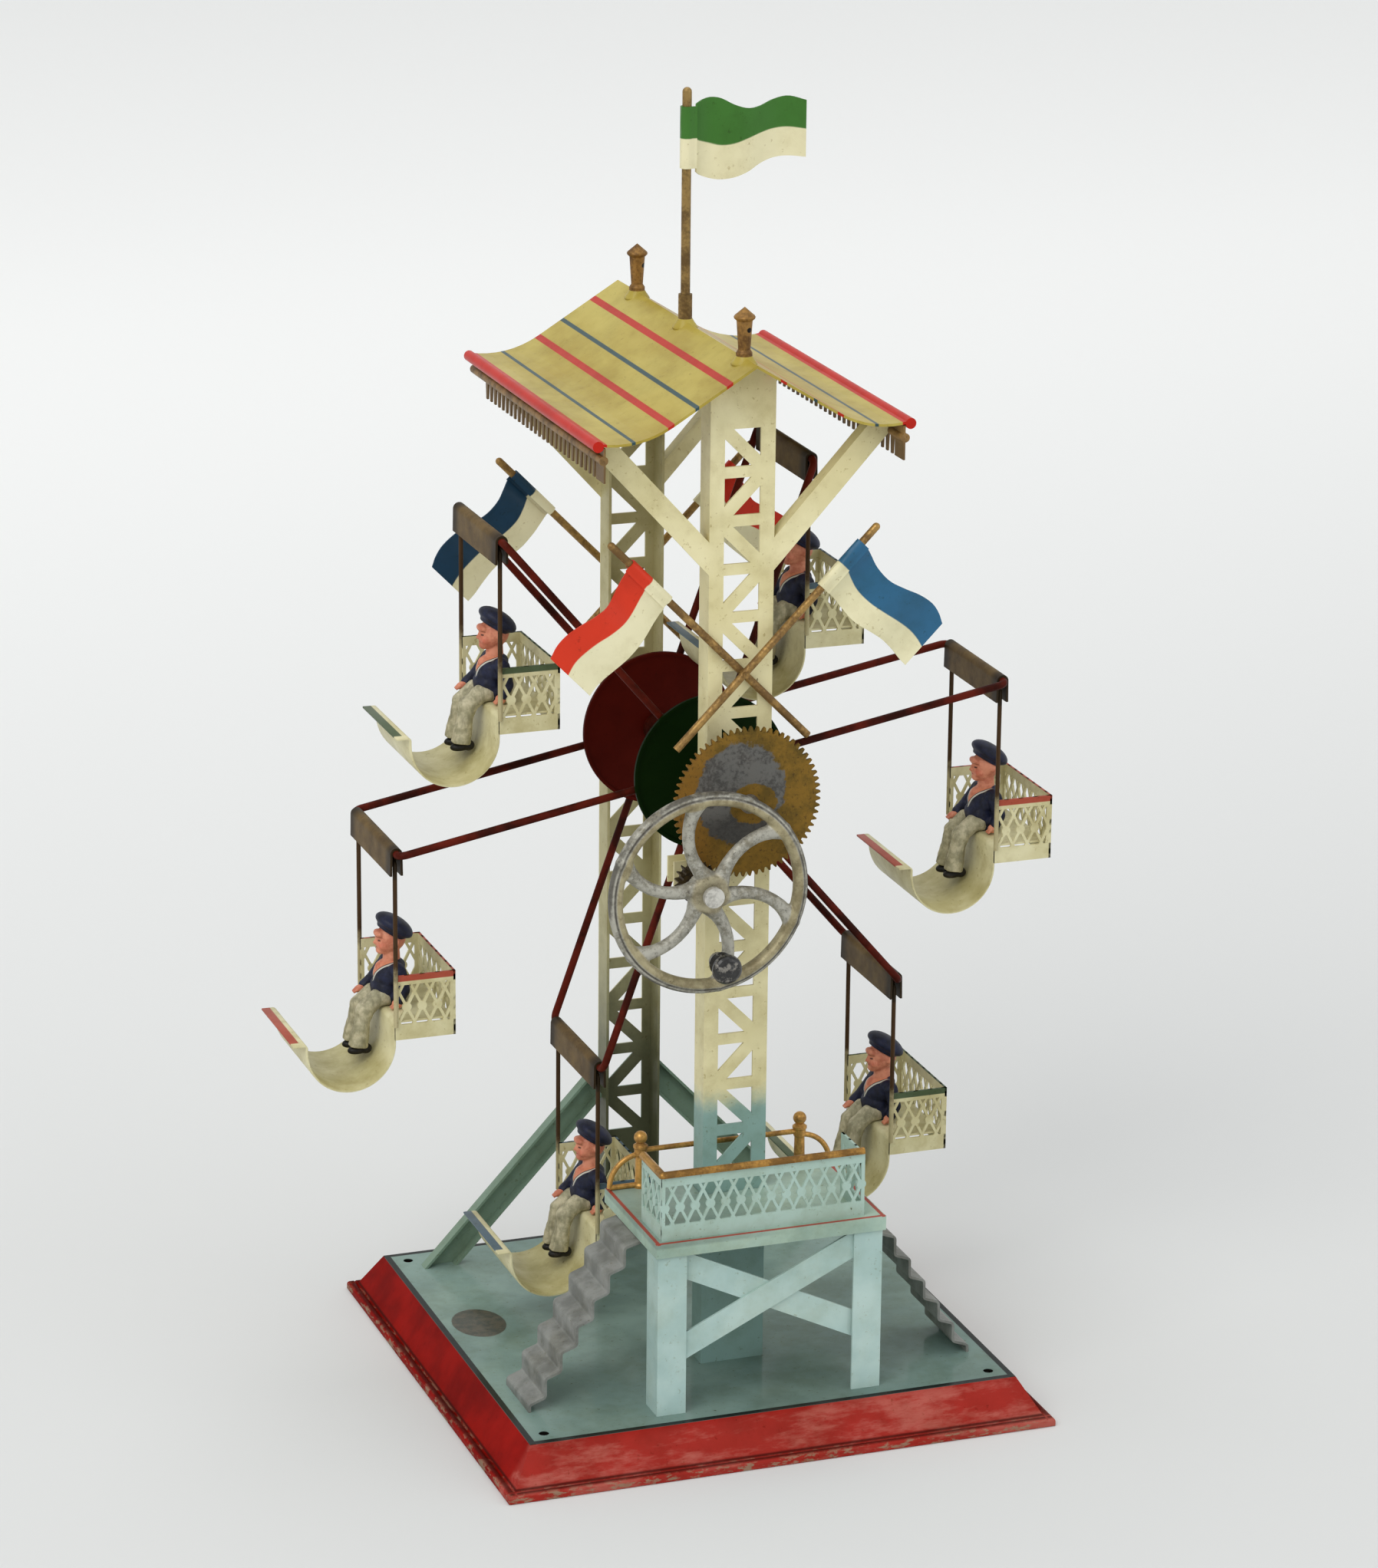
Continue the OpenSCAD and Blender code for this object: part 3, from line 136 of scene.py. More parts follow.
def agedPaint(look, colour, wear=0.3, dirt=0.35, gloss=0.36, coat=0.1, spec=0.2):
    # old enamel on tin: uneven colour, soiling, fine specks, chips down to the metal, and a rippled surface
    broad = look.cloud(22, 3, 0.6)
    fine = look.cloud(1.6, 4, 0.65)
    patch = look.cloud(7, 5, 0.7)
    shade = look.blend(colour, look.blend(colour, agedTin["fade"], 1.0, "MULTIPLY"), broad.over(0.5, 0.22))
    soiled = (patch * 0.6 + broad * 0.4).over(0.55, 0.11) * dirt
    shade = look.blend(shade, agedTin["soil"], soiled, "MULTIPLY")
    shade = look.blend(shade, agedTin["soil"], fine.over(0.66, 0.04) * (0.4 + dirt), "MULTIPLY")
    chips = (patch * 0.45 + fine * 0.55).over(0.72 - wear * 0.16, 0.012)
    shade = look.blend(shade, agedTin["chip"], chips)
    rough = gloss + 0.16 * patch + chips * 0.3
    normal = look.bump(patch * agedTin["ripple"] + fine * 0.12 - chips * 0.5, 0.35, 0.00025)
    return look.finish(shade, rough, chips * 0.4, normal, coat * (1 - chips), 0.14, spec)


def brassFinish(name, light, dark, tarnish=0.5, gloss=0.32, spots=0.4, metal=0.7, hole=None):
    look = Look(name)
    broad, fine = look.cloud(9, 4, 0.65), look.cloud(0.9, 3, 0.6)
    worn = (broad * 0.7 + fine * 0.3).over(0.62 - tarnish * 0.25, 0.12)
    colour = look.blend(light, dark, worn)
    speck = look.cloud(1.7, 5, 0.7).over(0.66, 0.04) * spots
    colour = look.blend(colour, paint(52, 36, 20), speck)
    if hole:
        colour = look.blend(colour, paint(14, 10, 8), hole(look))
    rough = gloss + worn * 0.22 + speck * 0.2
    return look.finish(colour, rough, metal - worn * 0.25 - speck * 0.2, look.bump(fine + broad, 0.3, 0.0002), spec=0.3)


looks = {}

# base: grey-green top inside a black line, with painted shade over its front part; deep red skirt whose front face is
# lightened by a painted sheen and rubbed pale in patches, partly wear and partly painted sheen
baseLines = {"acrossX": 79.2, "acrossY": 77.2, "half": 1.0, "insideX": 80.4, "insideY": 78.4, "topZ": 14.05,
             "seamZ": 2.9, "beadZ": 2.4, "frontY": -78, "shadeY": -50, "holesX": 77, "holesY": 75}
bareMark = {"x": -67.0, "y": 15.0, "wide": 74.0, "deep": 130.0}  # a plain worn disc of brown varnish
look = Look("base_paint")
topColour = look.blend(paint(146, 171, 163), paint(126, 151, 145), look.cloud(30, 4, 0.6).over(0.5, 0.2))
# painted shade darkens the front part of the base top
shadedFront = look.y.under(baseLines["shadeY"], 38)
topColour = look.blend(topColour, (0.6, 0.63, 0.62, 1), shadedFront * 0.85, "MULTIPLY")
line = abs(look.x).near(baseLines["acrossX"], baseLines["half"], 0.12)
line = line.most(abs(look.y).near(baseLines["acrossY"], baseLines["half"], 0.12))
inside = abs(look.x).under(baseLines["insideX"], 0.1) * abs(look.y).under(baseLines["insideY"], 0.1)
topColour = look.blend(topColour, paint(12, 13, 12), line * inside * 0.96)
markX, markY = look.x - bareMark["x"], look.y - bareMark["y"]
fromBare = markX * markX / bareMark["wide"] + markY * markY / bareMark["deep"]
bareColour = look.blend(paint(92, 78, 62), paint(62, 54, 44), look.cloud(3, 4, 0.7).over(0.5, 0.12))
topColour = look.blend(topColour, bareColour, (fromBare + look.cloud(1.5, 4, 0.7) * 0.12).under(1.04, 0.05) * 0.85)
redColour = look.blend(paint(156, 20, 12), paint(118, 10, 5), look.cloud(18, 4, 0.6).over(0.5, 0.25))
onFront = look.y.under(baseLines["frontY"], 2.0)
frontRubAndSheen = onFront * look.cloud(14, 5, 0.7, stretch=(0.5, 1.0, 2.0)).over(0.56, 0.1)
# painted sheen: the skirt's whole front face is lightened, and its pale patches are partly rubbed wear and partly
# painted sheen
redColour = look.blend(redColour, paint(172, 62, 54), onFront * 0.55)
redColour = look.blend(redColour, paint(194, 116, 104), frontRubAndSheen * 0.55)
beadChips = look.z.under(baseLines["beadZ"], 0.5) * look.cloud(2.6, 5, 0.7, stretch=(0.5, 0.5, 1.5)).over(0.55, 0.05)
redColour = look.blend(redColour, paint(52, 14, 10), look.z.near(baseLines["seamZ"], 0.35, 0.3) * 0.8)
redColour = look.blend(redColour, paint(150, 132, 110), beadChips * 0.8)
onTop = look.z.over(baseLines["topZ"], 0.06)
# the walls of the screw holes are painted dark as shade
shadedHoles = abs(look.x).under(baseLines["holesX"], 0.5) * abs(look.y).under(baseLines["holesY"], 0.5)
redColour = look.blend(redColour, paint(24, 22, 20), shadedHoles)
looks["base_shell"] = agedPaint(look, look.blend(redColour, topColour, onTop), wear=0.3, dirt=0.32, gloss=0.34,
                                coat=onTop * 0.35, spec=0.02)

# towers: cream that fades to the platform's grey-green low down
towerFade = {"ragged": 9, "soft": 5, "grimeAndShadeRagged": 15, "grimeAndShadeZ": 120, "grimeAndShadeSoft": 40}


def towerPaint(name, low, fadeAt, grimeAndShadeUpTo=None):
    look, f = Look(name), towerFade
    cream = look.blend(paint(238, 230, 186), paint(222, 212, 162), look.cloud(26, 3, 0.6).over(0.5, 0.2))
    edge = look.z + look.cloud(6, 5, 0.7) * f["ragged"]
    colour = look.blend(low, cream, edge.over(fadeAt + f["ragged"] / 2, f["soft"]))
    if grimeAndShadeUpTo:
        # the channel's inside is dulled all over and darker still low down, partly grime and partly painted shade in
        # its hollow
        dulledAndShaded = look.blend(cream, (0.72, 0.72, 0.66, 1), 1.0, "MULTIPLY")
        reach = (edge + look.cloud(6, 5, 0.7) * f["grimeAndShadeRagged"]).over(f["grimeAndShadeZ"], f["grimeAndShadeSoft"])
        grimyAndShaded = look.blend(paint(96, 98, 74), dulledAndShaded, reach)
        colour = look.blend(colour, grimyAndShaded, look.y.under(grimeAndShadeUpTo, 0.08))
    return agedPaint(look, colour, wear=0.25, dirt=0.4, gloss=0.36, coat=0.08)


looks["front_tower"] = towerPaint("front_tower_paint", paint(144, 176, 170), 102)
looks["rear_tower"] = towerPaint("rear_tower_paint", paint(146, 176, 160), 84, 66.4)
looks["eave_braces"] = looks["crank_bracket"] = towerPaint("brace_paint", paint(142, 170, 158), 20)

look = Look("strut_paint")
looks["tower_struts"] = agedPaint(look, paint(126, 150, 132), wear=0.25, dirt=0.35)

# roof: yellow lacquer, four pin stripes along each slope and red rolled eaves
roofStripes = {"red": ((8.5, 1.0), (26.8, 1.0)), "blue": ((18.7, 0.6), (38.5, 0.6)), "edgeX": 46.8, "soft": 0.12}
look = Look("roof_lacquer")
gold = look.blend(paint(192, 176, 88), paint(168, 146, 54), look.cloud(24, 4, 0.6, stretch=(1, 0.4, 1)).over(0.5, 0.2))
for place, half in roofStripes["red"]:
    gold = look.blend(gold, paint(184, 36, 12), abs(look.x).near(place, half, roofStripes["soft"]))
for place, half in roofStripes["blue"]:
    gold = look.blend(gold, paint(50, 76, 80), abs(look.x).near(place, half, roofStripes["soft"]))
gold = look.blend(gold, paint(192, 30, 10), abs(look.x).over(roofStripes["edgeX"], 0.15))
looks["roof_panel"] = agedPaint(look, gold, wear=0.12, dirt=0.3, gloss=0.3, coat=0.16, spec=0.15)

fringeTipZ = 311  # the teeth darken below this height
look = Look("fringe_bronze")
tan = look.blend(paint(156, 122, 74), paint(104, 80, 48), look.cloud(5, 4, 0.65).over(0.5, 0.16))
tan = look.blend(paint(112, 88, 56), tan, look.z.over(fringeTipZ, 1.5))
looks["eave_fringes"] = agedPaint(look, tan, wear=0.3, dirt=0.5, gloss=0.4, coat=0.05)

lanternHoles = {"heads": ((0.8, -37.5), (1.6, 59.4)), "z": 346.6, "reach": 0.62, "ahead": 2.5, "deep": 2.4}


def lanternHoleShade(look):
    # the hole in each lantern's head, on the side that faces the front, is painted on the surface as a dark spot of
    # shade
    dark, h = 0.0, lanternHoles
    for x, y in h["heads"]:
        across, rise = look.x - x, look.z - h["z"]
        facing = look.y.near(y - h["ahead"], h["deep"], 0.2)
        dark = dark + (across * across + rise * rise).under(h["reach"], 0.15) * facing
    return dark


looks["roof_lanterns"] = brassFinish("lantern_bronze", paint(160, 120, 62), paint(98, 68, 32), 0.5, 0.36, 0.6, 0.45,
                                     lanternHoleShade)
looks["railing_cap"] = brassFinish("cap_rail_brass", paint(186, 140, 70), paint(122, 88, 42), 0.5)
looks["flagpole"] = brassFinish("flagpole_brass", paint(158, 130, 78), paint(100, 78, 44), 0.5, 0.36, 0.5, 0.5)
looks["flag_socket"] = looks["flagpole"]
looks["crossed_poles"] = brassFinish("side_pole_brass", paint(176, 140, 80), paint(112, 84, 46), 0.5, 0.36, 0.5, 0.5)
looks["brass_handrail"] = brassFinish("handrail_brass", paint(204, 156, 84), paint(140, 102, 52), 0.4, 0.32, 0.4, 0.6)

# drive gear: olive ochre, with a mottled grey patch round an ochre island
gearPatch = {"grey": (-2.4, 204.5, 14.4, 16.0), "island": (1.8, 200.8, 7.6, 6.4), "ragged": 0.5, "soft": 0.07,
             "lowZ": 197, "leftX": -6}
look = Look("gear_brass")
rust = look.blend(paint(132, 100, 34), paint(96, 76, 26), look.cloud(7, 5, 0.7).over(0.5, 0.14))
rust = look.blend(rust, paint(150, 106, 40), (look.x + look.cloud(9, 4, 0.7) * 12).under(gearPatch["leftX"], 5) * 0.6)
rust = look.blend(rust, paint(66, 50, 22), look.cloud(1.3, 5, 0.7).over(0.6, 0.05) * 0.7)


def patchReach(look, patch):
    # 1 at the patch's ragged edge, less inside it
    x, z, across, rise = patch
    u, v = (look.x - x) / across, (look.z - z) / rise
    return u * u + v * v + (look.cloud(3.5, 5, 0.7) - 0.5) * gearPatch["ragged"] * 2


onIsland = patchReach(look, gearPatch["island"]).under(1.0, gearPatch["soft"])
greyed = patchReach(look, gearPatch["grey"]).under(1.0, gearPatch["soft"]) * (1 - onIsland)
mottle = look.cloud(1.1, 4, 0.75) * 0.6 + look.cloud(6, 3, 0.6) * 0.4
grey = look.blend(paint(104, 104, 101), paint(74, 74, 73), mottle.over(0.52, 0.07))
grey = look.blend(grey, paint(62, 62, 61), look.z.under(gearPatch["lowZ"], 3) * 0.7)
rust = look.blend(rust, grey, greyed * 0.95)
pitted = look.bump(look.cloud(1.1, 4, 0.7), 0.35, 0.0002)
looks["drive_gear"] = look.finish(rust, 0.5 + look.cloud(3, 4, 0.6) * 0.2, 0.3, pitted, spec=0.25)
looks["crank_pinion"] = brassFinish("pinion_dark", paint(92, 76, 48), paint(40, 32, 24), 0.7, 0.4)
looks["axle_bushes"] = brassFinish("bush_brass", paint(160, 126, 66), paint(96, 72, 40), 0.6)
looks["wheel_axle"] = brassFinish("shaft_steel", paint(140, 132, 118), paint(82, 72, 60), 0.5, 0.34)
looks["crank_shaft"] = brassFinish("shaft_silver", paint(214, 212, 204), paint(150, 148, 140), 0.3, 0.3, 0.6, 0.5)

# platform: grey-green sheet, a red pin line just inside the deck's edges
deckLine = {"x": 36.8, "y": -71.3, "half": 0.6, "topZ": 71.3, "sheetZ": 70, "shadeAndDirtX": -2}
look = Look("platform_paint")
platformColour = look.blend(paint(174, 198, 182), paint(152, 178, 166), look.cloud(16, 4, 0.6).over(0.5, 0.2))
# the deck's left part is darkened, partly dirt and partly painted shade
shadeAndDirtEnd = look.x.under(deckLine["shadeAndDirtX"], 16) * look.z.over(deckLine["sheetZ"], 0.5)
platformColour = look.blend(platformColour, (0.7, 0.7, 0.72, 1), shadeAndDirtEnd, "MULTIPLY")
pin = abs(look.x).near(deckLine["x"], deckLine["half"], 0.12)
pin = pin.most(look.y.near(deckLine["y"], deckLine["half"], 0.12)) * look.z.over(deckLine["topZ"], 0.05)
platformColour = look.blend(platformColour, paint(166, 56, 40), pin * 0.95)
looks["platform_deck"] = agedPaint(look, platformColour, wear=0.28, dirt=0.35)
look = Look("leg_paint")
legColour = look.blend(paint(186, 210, 204), paint(168, 196, 192), look.cloud(16, 4, 0.6).over(0.5, 0.2))
looks["platform_legs"] = looks["leg_braces"] = agedPaint(look, legColour, wear=0.2, dirt=0.25)
look = Look("railing_paint")
looks["platform_railing"] = agedPaint(look, paint(172, 198, 188), wear=0.28, dirt=0.35)

look = Look("stair_tin")
stairColour = look.blend(paint(140, 142, 138), paint(112, 114, 110), look.cloud(8, 4, 0.6).over(0.5, 0.15))
looks["platform_stairs"] = agedPaint(look, stairColour, wear=0.3, dirt=0.4, gloss=0.38, coat=0.05)

hubMiddleY = 14  # the disc in front of it is green, the one behind it red
look = Look("hub_paint")
hubColour = look.blend(paint(12, 32, 6), paint(78, 16, 8), look.y.over(hubMiddleY, 2))
looks["hub_discs"] = agedPaint(look, hubColour, wear=0.25, dirt=0.4, gloss=0.4, coat=0.0, spec=0.05)
look = Look("arm_paint")
armColour = look.blend(paint(98, 30, 18), paint(52, 18, 11), look.cloud(14, 4, 0.6).over(0.5, 0.14))
armPaint = agedPaint(look, armColour, wear=0.35, dirt=0.4, gloss=0.36, coat=0.0, spec=0.06)
looks["axle_collars"] = armPaint
for k in range(1, 7):
    looks[f"wheel_arm_{k}"] = armPaint

look = Look("knob_black")
worn = look.cloud(2.4, 5, 0.7).over(0.58, 0.05)
knobColour = look.blend(paint(22, 21, 20), paint(150, 146, 138), worn * 0.8)
looks["crank_knob"] = look.finish(knobColour, 0.3 + worn * 0.1, worn * 0.6, look.bump(worn, 0.3, 0.0002),
                                  0.2 * (1 - worn))

# gondolas: cream tin, its top band and the lip's stripe in one colour for each opposite pair
trims = (paint(168, 48, 32), paint(52, 86, 110), paint(38, 70, 40))
trimPlace = {"bandLow": -42.4, "rimLow": -40.6, "sideY": 18.9, "backX": 19.3, "frontX": -3, "stripeX": (-33.2, -30.0),
             "stripeEnd": -15.5, "stripeLow": -62, "capLow": -8.6, "capEndY": 17, "bareWire": -36}
troughDirtAndShade = {"x": -14, "z": -62.8, "reach": 197, "low": -69}
for k in range(1, 7):
    px, py, pz = rodPlace(k)
    look = Look(f"gondola_{k}_tin")
    u, v, w = look.x - px, look.y - py, look.z - pz
    cream = look.blend(paint(226, 220, 180), paint(206, 198, 152), look.cloud(14, 4, 0.6).over(0.5, 0.2))
    # inside the foot trough the cream is darkened, partly dirt and partly painted shade in its hollow
    fromX, fromZ = u - troughDirtAndShade["x"], w - troughDirtAndShade["z"]
    trough = (fromX * fromX + fromZ * fromZ).under(troughDirtAndShade["reach"], 1.5) * w.under(troughDirtAndShade["low"], 4)
    troughDarkness = look.cloud(12, 4, 0.6).over(0.42, 0.16) * 0.5 + 0.45
    cream = look.blend(cream, (0.72, 0.7, 0.56, 1), trough * troughDarkness, "MULTIPLY")
    outside = abs(v).over(trimPlace["sideY"], 0.1).most(u.over(trimPlace["backX"], 0.05))
    band = w.over(trimPlace["bandLow"], 0.12) * outside
    band = band.most(w.over(trimPlace["rimLow"], 0.05)) * u.over(trimPlace["frontX"], 0.2)
    low, high = trimPlace["stripeX"]
    stripe = u.over(low, 0.15) * u.under(high, 0.15) * v.over(trimPlace["stripeEnd"], 0.3)
    stripe = stripe * w.over(trimPlace["stripeLow"], 0.5)
    cream = look.blend(cream, trims[(k - 1) % 3], band.most(stripe) * 0.92)
    gondolaTin = agedPaint(look, cream, wear=0.3, dirt=0.4, gloss=0.36, coat=0.06)
    looks[f"gondola_{k}_seat"] = looks[f"gondola_{k}_guard"] = gondolaTin
    look = Look(f"hanger_{k}_tan")
    v, w = look.y - py, look.z - pz
    tan = look.blend(paint(114, 92, 54), paint(84, 66, 38), look.cloud(8, 4, 0.65).over(0.5, 0.2))
    tan = look.blend(tan, paint(34, 26, 18), abs(v).over(trimPlace["capEndY"], 3.5) * 0.85)
    bareWire = (w + look.cloud(3, 4, 0.7) * 10).under(trimPlace["bareWire"], 4) * 0.8
    wireColour = look.blend(paint(70, 50, 30), paint(198, 188, 146), bareWire)
    tan = look.blend(wireColour, tan, w.over(trimPlace["capLow"], 0.2))
    looks[f"gondola_{k}_hanger"] = agedPaint(look, tan, wear=0.4, dirt=0.45, gloss=0.42, coat=0.0, spec=0.12)
    looks[f"gondola_{k}_figure"] = looks[f"gondola_{k}_hanger"]

standIn = agedPaint(Look("stand_in_paint"), paint(200, 190, 150))
for name in ("handwheel", "top_flag", "crossed_flags"):
    looks[name] = standIn  # each of them is replaced by a modelled piece below

for name, node in nodes.items():
    for slot in node.material_slots:
        slot.material = looks[name]
print("materials on", len(nodes), "carried-over pieces")

# modelling in millimetres: every piece below is built where it stands
mm = 0.001


def metres(place):
    return [v * mm for v in place]


def setMode(mode):
    bpy.ops.object.mode_set(mode=mode)


def clearSelection():
    if bpy.context.object and bpy.context.object.mode != "OBJECT":
        setMode("OBJECT")
    bpy.ops.object.select_all(action="DESELECT")


def settle():
    # places, turns and sizes go into the mesh, so the object itself stands at the origin
    bpy.ops.object.transform_apply(location=True, rotation=True, scale=True)


def faceOutward():
    bpy.ops.mesh.select_all(action="SELECT")
    bpy.ops.mesh.normals_make_consistent(inside=False)
    setMode("OBJECT")


def startChoosing(kind):
    setMode("EDIT")
    bpy.ops.mesh.select_mode(type=kind)
    bpy.ops.mesh.select_all(action="DESELECT")


def drop(*pieces):
    for piece in pieces:
        bpy.data.objects.remove(piece)


def lump(at, radii, tilt=(0, 0, 0), sides=28):
    bpy.ops.mesh.primitive_uv_sphere_add(segments=sides, ring_count=sides // 2, radius=mm, scale=radii,
                                         location=metres(at), rotation=[radians(v) for v in tilt])
    return [bpy.context.object]


def tapered(a, b, ra, rb, sides=24, ends=True):
    # round bar from a to b, with rounded ends
    start, end = Vector(a) * mm, Vector(b) * mm
    aim = end - start
    bpy.ops.mesh.primitive_cone_add(vertices=sides, radius1=ra * mm, radius2=rb * mm, depth=aim.length,
                                    location=(start + end) / 2, rotation=aim.to_track_quat("Z", "Y").to_euler())
    parts = [bpy.context.object]
    return parts + lump(a, (ra, ra, ra)) + lump(b, (rb, rb, rb)) if ends else parts


def joined(name, parts):
    clearSelection()
    for part in parts:
        part.select_set(True)
    bpy.context.view_layer.objects.active = parts[0]
    if len(parts) > 1:
        bpy.ops.object.join()
    settle()
    piece = bpy.context.object
    piece.name = piece.data.name = name
    return piece


def apply(piece, kind, **settings):
    bpy.context.view_layer.objects.active = piece
    modifier = piece.modifiers.new("work", kind)
    for key, value in settings.items():
        setattr(modifier, key, value)
    bpy.ops.object.modifier_apply(modifier=modifier.name)


def moulded(name, parts, grain, soften, creases=0.0, creaseSize=3.0):
    # overlapping lumps run together into one skin, softened, with shallow creases
    piece = joined(name, parts)
    apply(piece, "REMESH", mode="VOXEL", voxel_size=grain * mm)
    apply(piece, "SMOOTH", factor=0.5, iterations=soften)
    if creases:
        pattern = bpy.data.textures.new(name + "_creases", "CLOUDS")
        pattern.noise_scale, pattern.noise_depth = creaseSize * mm, 1
        apply(piece, "DISPLACE", texture=pattern, texture_coords="LOCAL", strength=creases * mm, mid_level=0.5)
        apply(piece, "SMOOTH", factor=0.5, iterations=2)
    bpy.ops.object.shade_smooth()
    return piece


def turnedShape(name, rings, at, tilt=0, sides=40):
    # a circle drawn up ring by ring, each (radius, height), then leaned back
    clearSelection()
    bpy.ops.mesh.primitive_circle_add(vertices=sides, radius=rings[0][0] * mm, fill_type="NGON",
                                      location=(0, 0, rings[0][1] * mm))
    settle()
    setMode("EDIT")
    bpy.ops.mesh.select_all(action="SELECT")
    for (r0, z0), (r1, z1) in zip(rings, rings[1:]):
        bpy.ops.mesh.extrude_region_move(TRANSFORM_OT_translate={"value": (0, 0, (z1 - z0) * mm)})
        bpy.ops.transform.resize(value=(r1 / r0, r1 / r0, 1), center_override=(0, 0, z1 * mm))
    faceOutward()
    piece = bpy.context.object
    piece.rotation_euler = (0, radians(tilt), 0)
    piece.location = metres(at)
    piece = joined(name, [piece])
    apply(piece, "SUBSURF", levels=1, render_levels=1)
    bpy.ops.object.shade_smooth()
    return piece


def placedCopy(piece, name, shift):
    # a copy with its own mesh, moved by a shift in millimetres
    clearSelection()
    copy = piece.copy()
    copy.data = piece.data.copy()
    copy.name = copy.data.name = name
    bpy.context.scene.collection.objects.link(copy)
    copy.select_set(True)
    bpy.context.view_layer.objects.active = copy
    copy.location = metres(shift)
    settle()
    return copy


# the seated figure: x runs to its back, z up from the seat's top face, and it is modelled once
figure = {
    "seatDrop": 55.5, "grain": 0.32,
    "beret": {"rings": ((4.4, -1.4), (4.9, -0.9), (5.0, -0.1), (6.1, 0.3), (6.7, 1.2), (6.5, 2.3), (5.4, 3.4),
                        (3.4, 4.2), (1.2, 4.5)), "at": (4.7, 0, 23.7), "tilt": 33},
    "neckTop": 18.2, "headAt": (4.5, 0, 21.2), "chinZ": 17.3, "eyeZ": 21.0, "lipZ": 18.6,
    "collar": {"low": 8.4, "spread": 0.62, "piping": 0.34},
}


def buildFigure():
    f = figure
    beret = turnedShape("beret", f["beret"]["rings"], f["beret"]["at"], f["beret"]["tilt"])
    head = lump(f["headAt"], (4.7, 4.2, 4.7)) + lump((2.9, 0, 19.8), (3.5, 3.5, 3.9))
    head += lump((1.2, 0, f["chinZ"]), (1.7, 1.9, 1.3)) + lump((0.5, 0, 22.9), (1.6, 2.9, 1.2))
    head += lump((-0.45, 0, 20.0), (1.0, 0.62, 0.75)) + tapered((0, 0, 22), (-0.5, 0, 20.3), 0.42, 0.55, 14)
    head += lump((0.35, 0, f["lipZ"]), (0.75, 1.15, 0.5))
    for side in (-1, 1):
        head += lump((1.3, side * 1.9, 19.3), (1.5, 1.4, 1.5))
        head += lump((5.1, side * 4.2, 20.6), (1.0, 0.55, 1.3), (0, -12, 0))
    head += tapered((4.6, 0, 11), (4.5, 0, f["neckTop"]), 3.0, 2.5) + lump((1.9, 0, 11.2), (2.8, 3.0, 2.6))
    head = moulded("head", head, f["grain"] * 0.85, 5)
    blouse = lump((4.6, 0, 3.4), (5.4, 6.2, 4.6)) + lump((2.4, 0, 5.2), (4.8, 5.7, 4.0))
    blouse += lump((3.2, 0, 9.2), (4.6, 5.9, 4.6)) + lump((5.0, 0, 12.0), (3.7, 5.0, 2.8))
    for side in (-1, 1):
        blouse += lump((4.8, side * 4.9, 11.6), (2.7, 2.4, 2.6))
    blouse += tapered((5.0, -6.3, 11.4), (6.1, -7.7, 5.9), 2.35, 2.0)
    blouse += tapered((6.1, -7.7, 5.9), (4.7, -8.1, 3.2), 2.0, 1.75)
    blouse += tapered((4.6, 6.3, 11.4), (1.4, 7.9, 6.4), 2.35, 2.0)
    blouse += tapered((1.4, 7.9, 6.4), (-2.6, 6.5, 3.9), 2.0, 1.7)
    blouse = moulded("blouse", blouse, f["grain"] * 1.1, 4, 0.55, 2.6)
    hands = lump((3.9, -8.2, 1.9), (1.8, 1.3, 1.45), (0, 20, 0)) + lump((-4.4, 5.8, 3.2), (1.9, 1.45, 1.1), (0, -22, 0))
    for step in (-0.85, -0.1, 0.65):
        hands += tapered((3.2, -8.3 + step, 2.0), (2.0, -8.2 + step, 0.9), 0.52, 0.42, 12)
        hands += tapered((-4.8, 5.8 + step, 3.3), (-6.2, 5.6 + step, 2.5), 0.5, 0.42, 12)
    hands = moulded("hands", hands, f["grain"] * 0.75, 2)
    trousers = lump((5.2, 0, 2.7), (4.8, 6.1, 2.6))
    for side in (-1, 1):
        trousers += tapered((5.6, side * 3.0, 2.8), (-1.2, side * 3.0, 2.8), 2.7, 2.75)
        trousers += tapered((-1.2, side * 3.0, 2.8), (-5.3, side * 3.2, -0.9), 2.75, 2.85)
        trousers += tapered((-5.3, side * 3.2, -0.9), (-6.6, side * 3.3, -7.0), 2.75, 2.6)
        trousers += tapered((-6.3, side * 3.3, -5.6), (-7.6, side * 3.35, -12.5), 2.6, 3.15, ends=False)
    trousers = moulded("trousers", trousers, f["grain"] * 1.1, 3, 0.8, 3.2)
    shoes = []
    for side in (-1, 1):
        shoes += lump((-7.4, side * 3.1, -13.6), (3.6, 2.0, 1.5), (0, -5, 0))
        shoes += lump((-5.0, side * 3.1, -13.5), (2.0, 1.9, 1.7))
    shoes += lump((-6.6, 0, -14.3), (3.0, 2.2, 0.9))
    shoes = moulded("shoes", shoes, f["grain"] * 1.1, 3)
    return {"beret": beret, "head": head, "blouse": blouse, "hands": hands, "trousers": trousers, "shoes": shoes}


